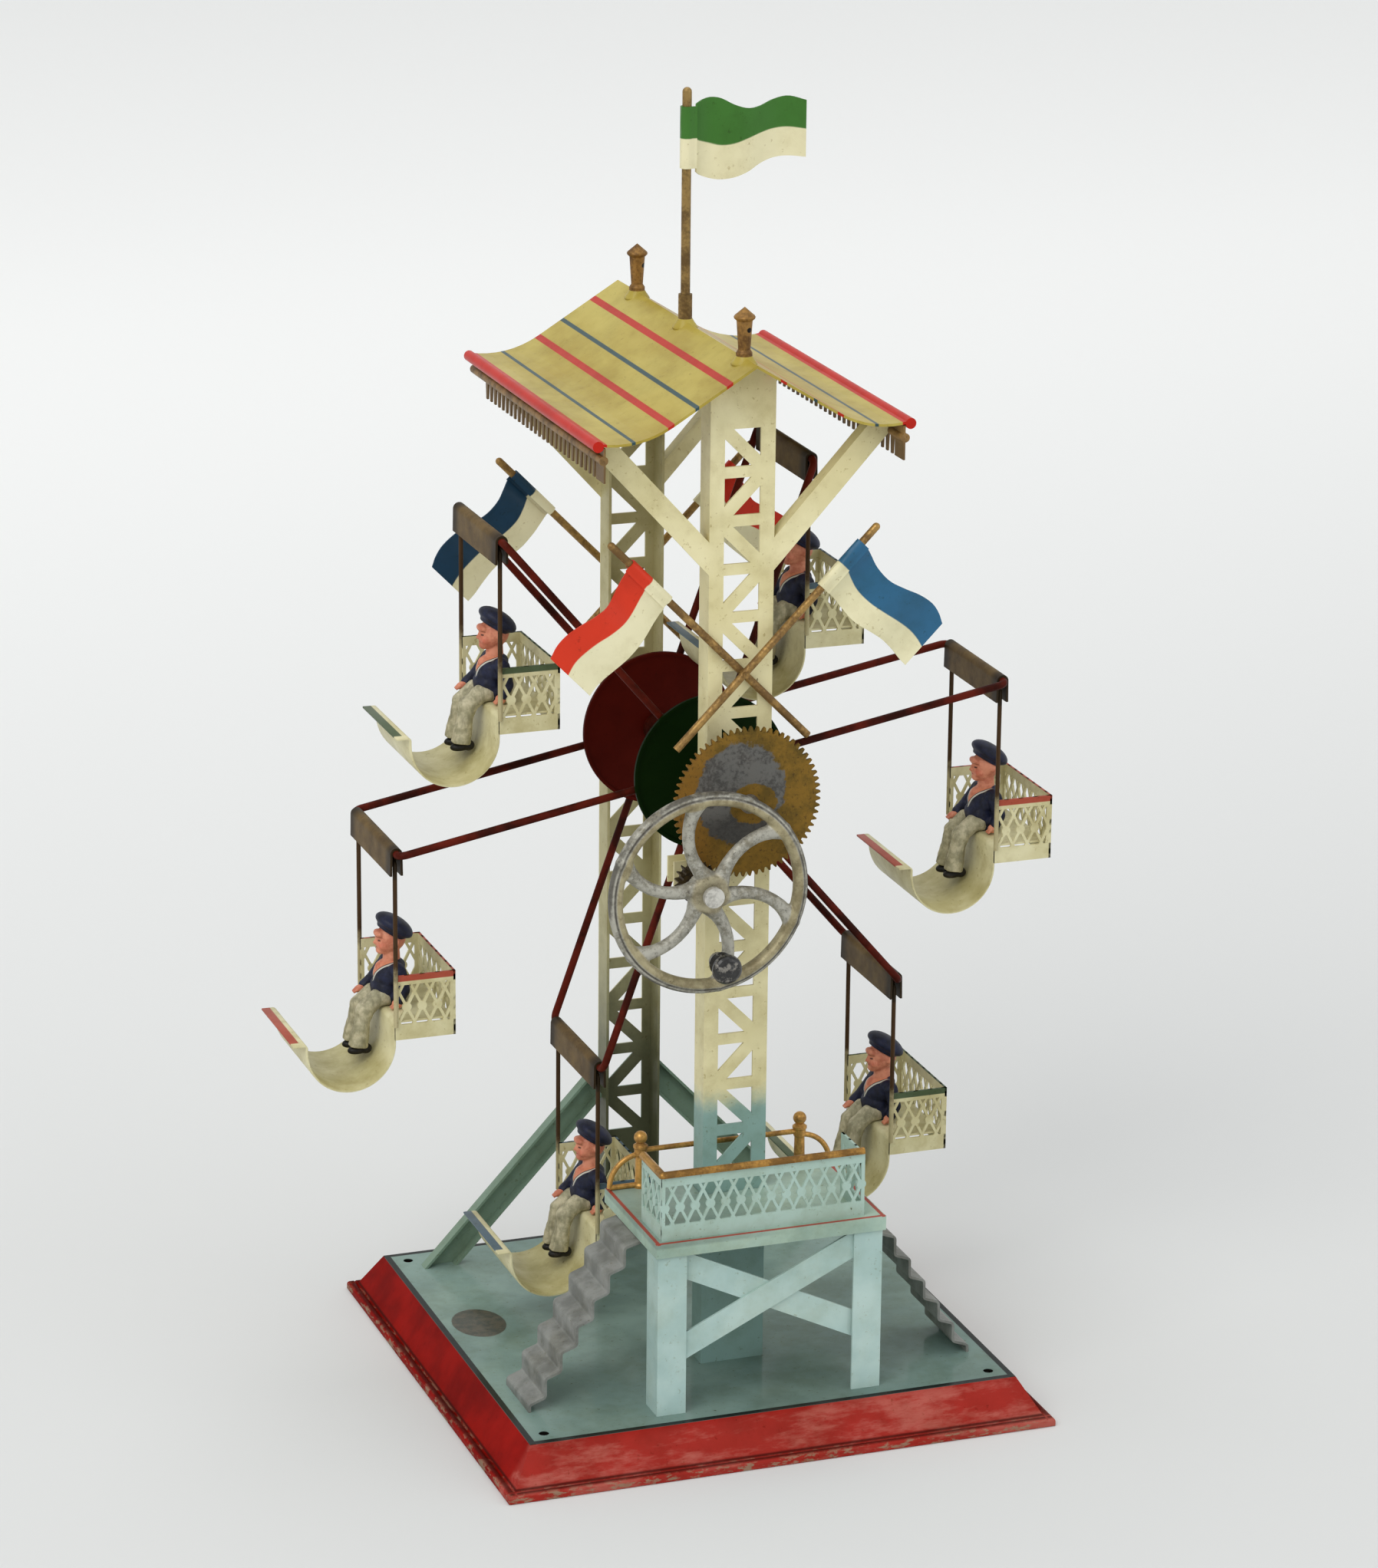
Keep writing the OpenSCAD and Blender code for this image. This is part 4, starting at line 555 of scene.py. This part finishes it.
def figureLooks(k):
    # painted as the figure is: face, collar and cloth colours by their place on the figure
    f = figure
    px, py, pz = rodPlace(k)
    done = {}
    for part in ("beret", "head", "blouse", "hands", "trousers", "shoes"):
        look = Look(f"figure_{k}_{part}_paint")
        u, v, w = look.x - px, look.y - py, look.z - pz + f["seatDrop"]
        patch, fine = look.cloud(3, 4, 0.65), look.cloud(0.7, 4, 0.7)
        rough, coat, bump = 0.5, 0.05, 0.25
        if part in ("head", "hands"):
            colour = look.blend(paint(216, 142, 112), paint(188, 110, 84), patch.over(0.52, 0.14))
            if part == "head":
                cheek = (abs(v).near(2.3, 0.9, 0.6) * w.near(19.3, 0.9, 0.7) * u.under(2.4, 0.5))
                colour = look.blend(colour, paint(206, 92, 70), cheek * 0.4)
                eye = abs(v).near(1.65, 0.5, 0.2) * w.near(f["eyeZ"], 0.22, 0.14) * u.under(3.0, 0.3)
                arch = (w + abs(v) * 0.22).near(f["eyeZ"] + 1.55, 0.14, 0.12)
                brow = abs(v).near(1.7, 0.85, 0.3) * arch * u.under(3.4, 0.3)
                lips = abs(v).under(0.8, 0.25) * w.near(f["lipZ"], 0.26, 0.14) * u.under(1.4, 0.3)
                colour = look.blend(colour, paint(60, 34, 26), eye.most(brow * 0.7))
                colour = look.blend(colour, paint(160, 44, 40), lips * 0.85)
            rough, coat = 0.46, 0.08
        elif part == "trousers":
            colour = look.blend(paint(196, 188, 158), paint(150, 146, 118), patch.over(0.5, 0.16))
            colour = look.blend(colour, paint(112, 108, 84), fine.over(0.64, 0.07) * 0.4)
            # painted shade: darker streaks down the trousers stand for shade in cloth creases
            crease = look.cloud(2.6, 3, 0.6, stretch=(1, 1, 0.35))
            colour = look.blend(colour, paint(118, 114, 90), crease.over(0.56, 0.1) * 0.6)
            rough, coat, bump = 0.6, 0.0, 0.45
        elif part == "shoes":
            colour = look.blend(paint(18, 16, 14), paint(52, 46, 38), patch.over(0.6, 0.08))
        else:
            colour = look.blend(paint(26, 32, 60), paint(14, 17, 34), patch.over(0.5, 0.16))
            colour = look.blend(colour, paint(62, 68, 92), fine.over(0.68, 0.05) * 0.6)
            if part == "blouse":
                c = f["collar"]
                opening = abs(v) - (w - c["low"]) * c["spread"]
                onFront = u.under(5.2, 0.5)
                colour = look.blend(colour, paint(206, 132, 98), opening.under(-0.3, 0.12) * onFront)
                piping = abs(opening - 0.35).under(c["piping"], 0.1) * onFront
                square = abs(v).under(4.6, 0.1) * w.near(8.8, c["piping"], 0.1) * (1 - onFront)
                colour = look.blend(colour, paint(206, 204, 190), piping.most(square) * 0.9)
        normal = look.bump(patch + fine * 0.4, bump, 0.0002)
        done[part] = look.finish(colour, rough + patch * 0.12, 0.0, normal, coat, spec=0.3)
    return done


firstFigure = buildFigure()
for k in range(1, 7):
    px, py, pz = rodPlace(k)
    finishes = figureLooks(k)
    for part, piece in firstFigure.items():
        copy = placedCopy(piece, f"gondola_{k}_sailor_{part}", (px, py, pz - figure["seatDrop"]))
        copy.data.materials.append(finishes[part])
        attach(copy, f"gondola_{k}")
        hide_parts(f"gondola_{k}_figure")
drop(*firstFigure.values())
print("six seated figures modelled and painted")

# seat strip: flat seat, wall, round foot trough, raised edge and the flat flange that carries the coloured stripe
strip = {"width": 36.8, "sheet": 0.6, "backX": 18.6, "seatZ": -55.8, "wallX": 0.1, "bend": 1.3,
         "trough": (-14.0, -62.8, 14.1), "edgeZ": -60.4, "lipBend": 0.9, "lipX": -32.6}


def stripPath():
    s = strip
    cx, cz, r = s["trough"]
    path = [(s["backX"], s["seatZ"]), (s["wallX"] + s["bend"], s["seatZ"])]
    for i in range(1, 6):
        turn = radians(90 + 18 * i)
        path.append((s["wallX"] + s["bend"] * (1 + cos(turn)), s["seatZ"] - s["bend"] * (1 - sin(turn))))
    for i in range(33):
        turn = radians(-180 * i / 32)
        path.append((cx + r * cos(turn), cz + r * sin(turn)))
    for i in range(6):
        turn = radians(18 * i)
        path.append((cx - r - s["lipBend"] * (1 - cos(turn)), s["edgeZ"] - s["lipBend"] * (1 - sin(turn))))
    return path + [(s["lipX"], s["edgeZ"] + 0.05)]


def buildSeat():
    # one edge across the sheet, drawn along the strip's path
    clearSelection()
    path = stripPath()
    (x0, z0), (x1, z1) = path[:2]
    bpy.ops.mesh.primitive_plane_add(size=1, location=((x0 + x1) / 2 * mm, 0, z0 * mm))
    bpy.context.object.scale = (abs(x1 - x0) * mm, strip["width"] * mm, 1)
    settle()
    piece = bpy.context.object
    startChoosing("EDGE")
    setMode("OBJECT")
    for edge in piece.data.edges:
        edge.select = all(piece.data.vertices[i].co.x < (x1 + 0.01) * mm for i in edge.vertices)
    setMode("EDIT")
    for (xa, za), (xb, zb) in zip(path[1:], path[2:]):
        bpy.ops.mesh.extrude_region_move(TRANSFORM_OT_translate={"value": ((xb - xa) * mm, 0, (zb - za) * mm)})
    faceOutward()
    apply(piece, "SOLIDIFY", thickness=strip["sheet"] * mm, offset=0)
    apply(piece, "BEVEL", width=0.15 * mm, segments=2, limit_method="ANGLE", angle_limit=radians(50))
    piece = joined("seat_strip", [piece])
    bpy.ops.object.shade_smooth_by_angle(angle=radians(40))
    return piece


firstSeat = buildSeat()
for k in range(1, 7):
    seat = placedCopy(firstSeat, f"gondola_{k}_seat_strip", rodPlace(k))
    seat.data.materials.append(looks[f"gondola_{k}_seat"])
    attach(seat, f"gondola_{k}")
    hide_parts(f"gondola_{k}_seat")
drop(firstSeat)
print("six seat strips modelled")

# punched strip of the railing and the guards: a net of crossing bars with round bosses along its middle row; what is
# laid over the sheet stands proud of it by a hair, so no two faces share a plane
punched = {"pitch": 4.95, "row": 4.9, "bossRow": 10.6, "boss": 1.5, "lozenge": (2.0, 3.95), "foot": 5.0, "head": 3.1,
           "post": 1.1, "sheet": 0.7, "proud": {"post": 0.02, "band": 0.04, "boss": 0.06}}
railingPlace = {"x": -35.2, "y": -69.6, "z": 71.5, "long": 66.4, "high": 20.8, "return": 18.0, "first": 1.0,
                "returnFirst": 1.6}
guardPlace = {"side": 18.8, "across": 38.2, "high": 21.0, "low": -61.5, "sideFirst": 3.8, "backFirst": 4.2}


def slab(x0, x1, z0, z1, thick):
    bpy.ops.mesh.primitive_cube_add(size=mm, location=((x0 + x1) / 2 * mm, 0, (z0 + z1) / 2 * mm),
                                    scale=(x1 - x0, thick, z1 - z0))
    return bpy.context.object


def punchedPanel(name, long, high, first):
    # stands along +X from its lower corner, its sheet centred on y 0
    s, proud = punched, punched["proud"]
    sheet = joined(name, [slab(0, long, 0, high, s["sheet"])])
    clearSelection()
    bpy.ops.mesh.primitive_cylinder_add(vertices=4, radius=mm, depth=3 * s["sheet"] * mm,
                                        rotation=(radians(90), 0, 0))
    bpy.context.object.scale = (s["lozenge"][0], s["lozenge"][1], 1)
    lozenge = joined("lozenge", [bpy.context.object])
    bpy.ops.mesh.primitive_cylinder_add(vertices=28, radius=s["boss"] * mm, depth=(s["sheet"] + proud["boss"]) * mm,
                                        rotation=(radians(90), 0, 0))
    boss = joined("boss", [bpy.context.object])
    cutters, bosses = [], []
    for i in range(-1, int(long / s["pitch"]) + 2):
        x = first + s["pitch"] * i
        for across, rise in ((0, -1), (0, 1), (0.5, -2), (0.5, 0), (0.5, 2)):
            cutters.append(placedCopy(lozenge, "cutter", (x + across * s["pitch"], 0, s["bossRow"] + rise * s["row"])))
        if s["boss"] * 0.6 < x < long - s["boss"] * 0.6:
            bosses.append(placedCopy(boss, "boss_copy", (x, 0, s["bossRow"])))
    cutter = joined("cutter", cutters)
    apply(sheet, "BOOLEAN", object=cutter, operation="DIFFERENCE", solver="EXACT")
    drop(cutter, lozenge, boss)
    band, post = s["sheet"] + proud["band"], s["sheet"] + proud["post"]
    edges = [slab(0, long, 0, s["foot"], band), slab(0, long, high - s["head"], high, band)]
    edges += [slab(0, s["post"], 0, high, post), slab(long - s["post"], long, 0, high, post)]
    return joined(name, [sheet] + bosses + edges)


def stoodUp(panel, name, turn, at):
    copy = placedCopy(panel, name, (0, 0, 0))
    if turn:
        bpy.ops.transform.rotate(value=-radians(turn), orient_axis="Z", center_override=(0, 0, 0))
    copy.location = Vector(copy.location) + Vector(metres(at))
    settle()
    return copy


def buildRailing():
    r, half = railingPlace, punched["sheet"] / 2
    front = punchedPanel("railing_front", r["long"], r["high"], r["first"])
    back = punchedPanel("railing_return", r["return"], r["high"], r["returnFirst"])
    parts = [stoodUp(front, "front", 0, (r["x"], r["y"] + half, r["z"]))]
    for x in (r["x"] + half, r["x"] + r["long"] - half):
        parts.append(stoodUp(back, "return", 90, (x, r["y"] + 2 * half, r["z"])))
    drop(front, back)
    return joined("punched_railing", parts)


def buildGuard():
    g, half = guardPlace, punched["sheet"] / 2
    side = punchedPanel("guard_side", g["side"], g["high"], g["sideFirst"])
    back = punchedPanel("guard_back", g["across"], g["high"], g["backFirst"])
    parts = [stoodUp(side, "side", 0, (0, sign * (g["across"] / 2 - half), g["low"])) for sign in (-1, 1)]
    parts.append(stoodUp(back, "back", 90, (g["side"] + half, -g["across"] / 2, g["low"])))
    drop(side, back)
    return joined("punched_guard", parts)


railing = buildRailing()
railing.data.materials.append(looks["platform_railing"])
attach(railing, "stand")
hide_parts("platform_railing")
firstGuard = buildGuard()
for k in range(1, 7):
    guard = placedCopy(firstGuard, f"gondola_{k}_punched_guard", rodPlace(k))
    guard.data.materials.append(looks[f"gondola_{k}_guard"])
    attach(guard, f"gondola_{k}")
    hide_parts(f"gondola_{k}_guard")
drop(firstGuard)
print("railing and six guards punched")

# flags: a thin sheet wrapped round its pole; each edge is (away from the pole, top, split, low) in mm along the pole
flags = {
    "wrap": 8, "columns": 30, "halfRows": 4, "sheet": 0.5, "wave": 1.0, "tilt": 44.5, "crossing": 241.0,
    "top": {"pole": 2.9, "beat": 24, "edges": (
        (1.5, 404.4, 394.6, 385.4), (4, 405.6, 393.6, 383.2), (7.5, 406.6, 392.6, 381.8), (11, 406.2, 391.8, 381.3),
        (15, 404.2, 392.2, 381.8), (19.5, 402.9, 393.7, 383.4), (23.5, 403.3, 395.0, 385.6), (28, 404.9, 396.0, 387.0),
        (33, 405.8, 396.3, 387.4), (38.5, 404.4, 395.6, 386.9))},
    "left": {"pole": 2.4, "beat": 28, "edges": (
        (1.2, 51.4, 42.9, 34.1), (5, 49.8, 41.2, 32.9), (9.5, 48.2, 39.8, 31.8), (14, 47.3, 39.5, 31.2),
        (19, 48.5, 40.6, 31.2), (23.5, 49.9, 41.9, 31.5), (28, 50.6, 42.4, 31.8), (32.5, 50.3, 42.3, 31.9),
        (36.8, 49.0, 41.2, 31.4))},
    "right": {"pole": 2.4, "beat": 28, "edges": (
        (1.2, 53.3, 44.4, 35.1), (5, 52.6, 43.3, 35.3), (10, 51.1, 41.9, 34.7), (15.5, 50.7, 41.7, 34.2),
        (21, 52.2, 42.5, 35.2), (26.5, 54.0, 43.5, 36.1), (32, 54.8, 44.1, 36.1), (36, 54.0, 43.8, 35.6),
        (39, 52.4, 43.0, 35.4))},
}


def through(edges, at, which):
    # a smooth curve through the edge's points
    i = max(j for j in range(len(edges) - 1) if edges[j][0] <= at + 1e-6)
    a, b = edges[i], edges[i + 1]
    before, after = edges[max(i - 1, 0)], edges[min(i + 2, len(edges) - 1)]
    t = (at - a[0]) / (b[0] - a[0])
    ga = (b[which] - before[which]) / (b[0] - before[0]) * (b[0] - a[0])
    gb = (after[which] - a[which]) / (after[0] - a[0]) * (b[0] - a[0])
    leaving = ((2 * t - 3) * t * t + 1) * a[which] + ((t - 2) * t + 1) * t * ga
    return leaving + (3 - 2 * t) * t * t * b[which] + (t - 1) * t * t * gb


def nudge(piece, chosen, stretch, shift):
    # stretches chosen points upward from z 0, then moves them
    setMode("OBJECT")
    for vertex in piece.data.vertices:
        vertex.select = vertex.index in chosen
    setMode("EDIT")
    if stretch != 1:
        bpy.ops.transform.resize(value=(1, 1, stretch), center_override=(0, 0, 0))
    if shift:
        bpy.ops.transform.translate(value=metres(shift))
    bpy.ops.mesh.select_all(action="DESELECT")


def wavedFlag(name, flag, hand, turn, at):
    clearSelection()
    r = flag["pole"] / 2 + flags["sheet"] / 2 + 0.12
    edges = flag["edges"]
    places = []
    for step in range(flags["wrap"]):
        bend = radians(40 + 40 * step)
        places.append((r * cos(bend), r * sin(bend)) + edges[0][1:])
    for i in range(flags["columns"] + 1):
        away = edges[0][0] + (edges[-1][0] - edges[0][0]) * (i / flags["columns"])
        wave = flags["wave"] * sin(2 * pi * away / flag["beat"]) * min(1, away / 8) - r * max(0, 1 - away / 5)
        places.append((away + (1.2 if i == 0 else 0), wave) + tuple(through(edges, away, w) for w in (1, 2, 3)))
    rows, count = 2 * flags["halfRows"], len(places)
    bpy.ops.mesh.primitive_grid_add(x_subdivisions=count - 1, y_subdivisions=rows, size=2 * mm,
                                    rotation=(radians(90), 0, 0))
    settle()
    piece = bpy.context.object
    startChoosing("VERT")
    setMode("OBJECT")
    grid = [(round((v.co.x / mm + 1) / 2 * (count - 1)), v.co.z / mm) for v in piece.data.vertices]
    for column, (away, side, top, split, low) in enumerate(places):
        upper = {i for i, (c, z) in enumerate(grid) if c == column and z > 0.01}
        lower = {i for i, (c, z) in enumerate(grid) if c == column and z < -0.01}
        whole = {i for i, (c, z) in enumerate(grid) if c == column}
        nudge(piece, upper, top - split, None)
        nudge(piece, lower, split - low, None)
        nudge(piece, whole, 1, (hand * away - (2 * column / (count - 1) - 1), side, split))
    faceOutward()
    apply(piece, "SOLIDIFY", thickness=flags["sheet"] * mm, offset=0)
    piece.rotation_euler = (0, radians(turn), 0)
    piece.location = metres(at)
    piece = joined(name, [piece])
    bpy.ops.object.shade_smooth_by_angle(angle=radians(40))
    return piece


def flagPaint(name, strong):
    # the strong colour stands above the sheet's own middle row
    look = Look(name)
    sheetPlace = look.add("ShaderNodeUVMap", {"uv_map": "UVMap"})
    along = look.add("ShaderNodeSeparateXYZ", {}, {0: sheetPlace}, out=1)
    colour = look.blend(paint(234, 228, 190), strong, along.over(0.5, 0.012))
    return agedPaint(look, colour, wear=0.3, dirt=0.3, spec=0.2)


frontPoles = {"left": -38.8, "right": -41.3}
flagPieces = [wavedFlag("waved_top_flag", flags["top"], 1, 0, (0, wheelY, 0))]
for hand, side in ((-1, "left"), (1, "right")):
    at = (0, frontPoles[side], flags["crossing"])
    flagPieces.append(wavedFlag(f"crossed_flag_front_{side}", flags[side], hand, hand * flags["tilt"], at))
for front, name in ((1, "crossed_flag_rear_right"), (2, "crossed_flag_rear_left")):
    rear = placedCopy(flagPieces[front], name, (0, 0, 0))
    bpy.ops.transform.rotate(value=pi, orient_axis="Z", center_override=(0, wheelY * mm, 0))
    settle()
    flagPieces.append(rear)
strongColours = (paint(62, 116, 44), paint(214, 54, 26), paint(46, 100, 136), paint(206, 48, 26), paint(26, 60, 86))
for piece, strong in zip(flagPieces, strongColours):
    piece.data.materials.append(flagPaint(piece.name + "_paint", strong))
    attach(piece, "stand")
    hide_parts("top_flag" if piece.name == "waved_top_flag" else "crossed_flags")
print("five waved flags modelled")

# handwheel: a deep rim with an outer bead, six bowed spokes that run out into rim and hub, and the knob's pin
wheelShape = {
    "centre": (-16.3, -56.1, 177.63), "phase": 36.5, "grain": 0.4,
    "body": {"radius": 29.3, "across": 1.75, "deep": 2.6}, "bead": {"radius": 31.05, "across": 0.95, "deep": 1.9},
    "spoke": {"start": 4.6, "end": 29.4, "bow": 4.6, "mid": 1.95, "flare": 0.9, "steps": 9},
    "hub": {"radius": 6.6, "half": 2.65, "taper": 1.0},
    "pin": {"reach": 22.0, "turn": 277.5, "radius": 0.98, "collar": 2.2, "stop": -58.75, "end": -67.3},
}


def rimRing(ring):
    bpy.ops.mesh.primitive_torus_add(major_radius=ring["radius"] * mm, minor_radius=ring["across"] * mm,
                                     major_segments=120, minor_segments=20, rotation=(radians(90), 0, 0),
                                     location=metres(wheelShape["centre"]))
    bpy.context.object.scale = (1, 1, ring["deep"] / ring["across"])
    return bpy.context.object


def buildHandwheel():
    w = wheelShape
    cx, cy, cz = w["centre"]
    s = w["spoke"]
    chord = s["end"] - s["start"]
    arc = (chord * chord / 4 + s["bow"] ** 2) / (2 * s["bow"])
    bends = []
    for i in range(s["steps"] + 1):
        t = i / s["steps"]
        rise = sqrt(arc * arc - (chord * (t - 0.5)) ** 2) + s["bow"] - arc
        bends.append((cx + s["start"] + chord * t, cy, cz + rise, s["mid"] + s["flare"] * abs(2 * t - 1) ** 3))
    first = []
    for a, b in zip(bends, bends[1:]):
        first += tapered(a[:3], b[:3], a[3], b[3], 16)
    first = joined("spoke", first)
    centre = metres(w["centre"])
    parts = [rimRing(w["body"]), rimRing(w["bead"])]
    hub, half = w["hub"]["radius"], w["hub"]["half"]
    parts += tapered((cx, cy - half, cz), (cx, cy + half, cz), hub - w["hub"]["taper"], hub, 40, ends=False)
    for i in range(6):
        spoke = placedCopy(first, f"spoke_{i}", (0, 0, 0))
        bpy.ops.transform.rotate(value=radians(w["phase"] + 60 * i), orient_axis="Y", center_override=centre)
        parts.append(spoke)
    drop(first)
    pin = w["pin"]
    turn = radians(pin["turn"])
    px, pz = cx + pin["reach"] * cos(turn), cz + pin["reach"] * sin(turn)
    parts += tapered((px, pin["stop"], pz), (px, cy, pz), pin["collar"], pin["collar"] + 0.6, 24, ends=False)
    wheel = moulded("crank_handwheel", parts, w["grain"], 4)
    shank = tapered((px, pin["end"], pz), (px, cy, pz), pin["radius"], pin["radius"], 20, ends=False)
    wheel = joined("crank_handwheel", [wheel] + shank)
    bpy.ops.object.shade_smooth()
    return wheel


def silverPaint():
    # silver over cream: bright outside, yellowed inside, black in the groove between
    look = Look("handwheel_silver")
    cx, cy, cz = wheelShape["centre"]
    u, v = look.x - cx, look.z - cz
    away = look.add("ShaderNodeMath", {"operation": "SQRT"}, {0: u * u + v * v})
    mottled, fine = look.cloud(5, 5, 0.7), look.cloud(1.1, 4, 0.7)
    silver = look.blend(paint(176, 174, 162), paint(126, 124, 114), (mottled * 0.6 + fine * 0.4).over(0.52, 0.1))
    yellowed = look.blend(paint(168, 157, 118), paint(134, 122, 86), mottled.over(0.5, 0.12))
    inner = away.near(28.7, 1.3, 0.4).most(away.under(6.2, 0.8) * 0.8).most(mottled.over(0.6, 0.1) * 0.35)
    colour = look.blend(silver, yellowed, inner * 0.85)
    groove = away.near(30.5, 0.3, 0.25) * (look.cloud(8, 4, 0.7).over(0.42, 0.1) * 0.5 + 0.5)
    outerGrime = away.over(31.3, 0.3) * look.cloud(9, 4, 0.7).over(0.46, 0.08)
    grime = groove.most(outerGrime * 0.85).most(fine.over(0.66, 0.04) * 0.6)
    grime = grime.most(look.cloud(2.2, 5, 0.75).over(0.66, 0.04) * 0.7)
    colour = look.blend(colour, paint(48, 43, 36), grime * 0.9)
    normal = look.bump(mottled * 0.6 + fine * 0.3, 0.5, 0.00035)
    return look.finish(colour, 0.38 + mottled * 0.2, 0.3 - grime * 0.25, normal, spec=0.35)


handwheel = buildHandwheel()
handwheel.data.materials.append(silverPaint())
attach(handwheel, "crank")
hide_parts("handwheel")
print("handwheel modelled")

# solder run up round the feet of both lanterns and of the flagpole's socket
solder = {"rings": ((4.7, -2.8), (3.8, -1.6), (3.0, -0.5), (2.5, 0.3), (2.2, 1.1)), "feet": (-37.5, 59.4, wheelY),
          "ridge": 338.2}
firstFoot = turnedShape("solder_foot", solder["rings"], (0, 0, 0), 0, 28)
for i, y in enumerate(solder["feet"]):
    foot = placedCopy(firstFoot, f"solder_foot_{i + 1}", (0, y, solder["ridge"]))
    foot.data.materials.append(looks["roof_panel"])
    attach(foot, "stand")
drop(firstFoot)

# studio: a paper sweep in metres that glows softly further back, from a middle place and a reach in mm
stageSize = {"width": 14.0, "front": -8.0, "back": 4.5, "height": 5.0, "curve": 1.6, "under": -0.0002}
paper = {"colour": (0.7, 0.71, 0.705, 1), "glow": (0.34, 0.34, 0.335, 1), "glowY": 750.0, "glowReach": 950.0}


def pickFarEdge(floor):
    # the floor's far edge, where it meets the ground
    setMode("OBJECT")
    for edge in floor.data.edges:
        ends = [floor.data.vertices[i].co for i in edge.vertices]
        edge.select = all(end.y > stageSize["back"] - 0.01 and end.z < 0.1 for end in ends)
    setMode("EDIT")


def buildStage():
    clearSelection()
    depth = stageSize["back"] - stageSize["front"]
    bpy.ops.mesh.primitive_plane_add(size=1, location=(0, stageSize["front"] + depth / 2, stageSize["under"]))
    floor = bpy.context.object
    floor.name = "studio_floor"
    floor.scale = (stageSize["width"], depth, 1)
    settle()
    startChoosing("EDGE")
    pickFarEdge(floor)
    bpy.ops.mesh.extrude_region_move(TRANSFORM_OT_translate={"value": (0, 0, stageSize["height"])})
    bpy.ops.mesh.select_all(action="DESELECT")
    pickFarEdge(floor)
    bpy.ops.mesh.bevel(offset=stageSize["curve"], segments=16)
    setMode("OBJECT")
    bpy.ops.object.shade_smooth()
    # the paper shows evenly pale to the camera and in gloss, and still takes the object's shadow
    look = Look("studio_paper")
    sheet = look.finish(paper["colour"], 0.9, spec=0.0)
    path = look.add("ShaderNodeLightPath")
    rays = path.socket.node.outputs
    seen = path.most(Wire(look, rays["Is Glossy Ray"])).most(Wire(look, rays["Is Transmission Ray"]))
    glow = look.blend((0, 0, 0, 1), paper["glow"], seen * look.y.over(paper["glowY"], paper["glowReach"]))
    look.give(look.shader.inputs["Emission Color"], glow)
    look.shader.inputs["Emission Strength"].default_value = 1.0
    floor.data.materials.append(sheet)


buildStage()

world = bpy.data.worlds.new("studio_world")
bpy.context.scene.world = world
world.use_nodes = True
world.node_tree.nodes["Background"].inputs["Color"].default_value = (0.98, 0.99, 1.0, 1)
world.node_tree.nodes["Background"].inputs["Strength"].default_value = 0.62

lamps = {
    "key_lamp": {"place": (-1.5, -1.2, 1.9), "size": 1.6, "power": 28, "colour": (1.0, 0.985, 0.96)},
    "fill_lamp": {"place": (1.6, -1.5, 1.0), "size": 1.8, "power": 9, "colour": (0.97, 0.985, 1.0)},
    "top_lamp": {"place": (0.1, 0.5, 2.3), "size": 1.8, "power": 12, "colour": (1.0, 1.0, 1.0)},
}
for name, lamp in lamps.items():
    bpy.ops.object.light_add(type="AREA", location=lamp["place"])
    light = bpy.context.object
    light.name = name
    light.data.size, light.data.energy, light.data.color = lamp["size"], lamp["power"], lamp["colour"]
    light.rotation_euler = (Vector((0, 0, 0.2)) - Vector(lamp["place"])).to_track_quat("-Z", "Y").to_euler()

# the photograph's camera: place in metres, turns in degrees, focal length and long side in its pixels, sensor in mm
shot = {"place": (-0.53049, -1.45686, 0.68424), "yaw": -19.92, "pitch": -17.56, "roll": 0.56, "focal": 6789.54,
        "longSide": 2044, "sensor": 36}
yaw, pitch, roll = (radians(shot[k]) for k in ("yaw", "pitch", "roll"))
ahead = Vector((-sin(yaw) * cos(pitch), cos(yaw) * cos(pitch), sin(pitch)))
right = ahead.cross(Vector((0, 0, 1))).normalized()
up = right.cross(ahead)
right, up = cos(roll) * right + sin(roll) * up, cos(roll) * up - sin(roll) * right
camera = bpy.data.objects.new("photo_camera", bpy.data.cameras.new("photo_camera"))
bpy.context.scene.collection.objects.link(camera)
camera.matrix_world = Matrix((right, up, -ahead)).transposed().to_4x4()
camera.location = shot["place"]
camera.data.sensor_width = shot["sensor"]
camera.data.lens = shot["sensor"] * shot["focal"] / shot["longSide"]
camera.data.clip_start, camera.data.clip_end = 0.05, 40
bpy.context.scene.camera = camera
bpy.context.scene.view_settings.view_transform = "Standard"
print("stage, lamps and camera ready")
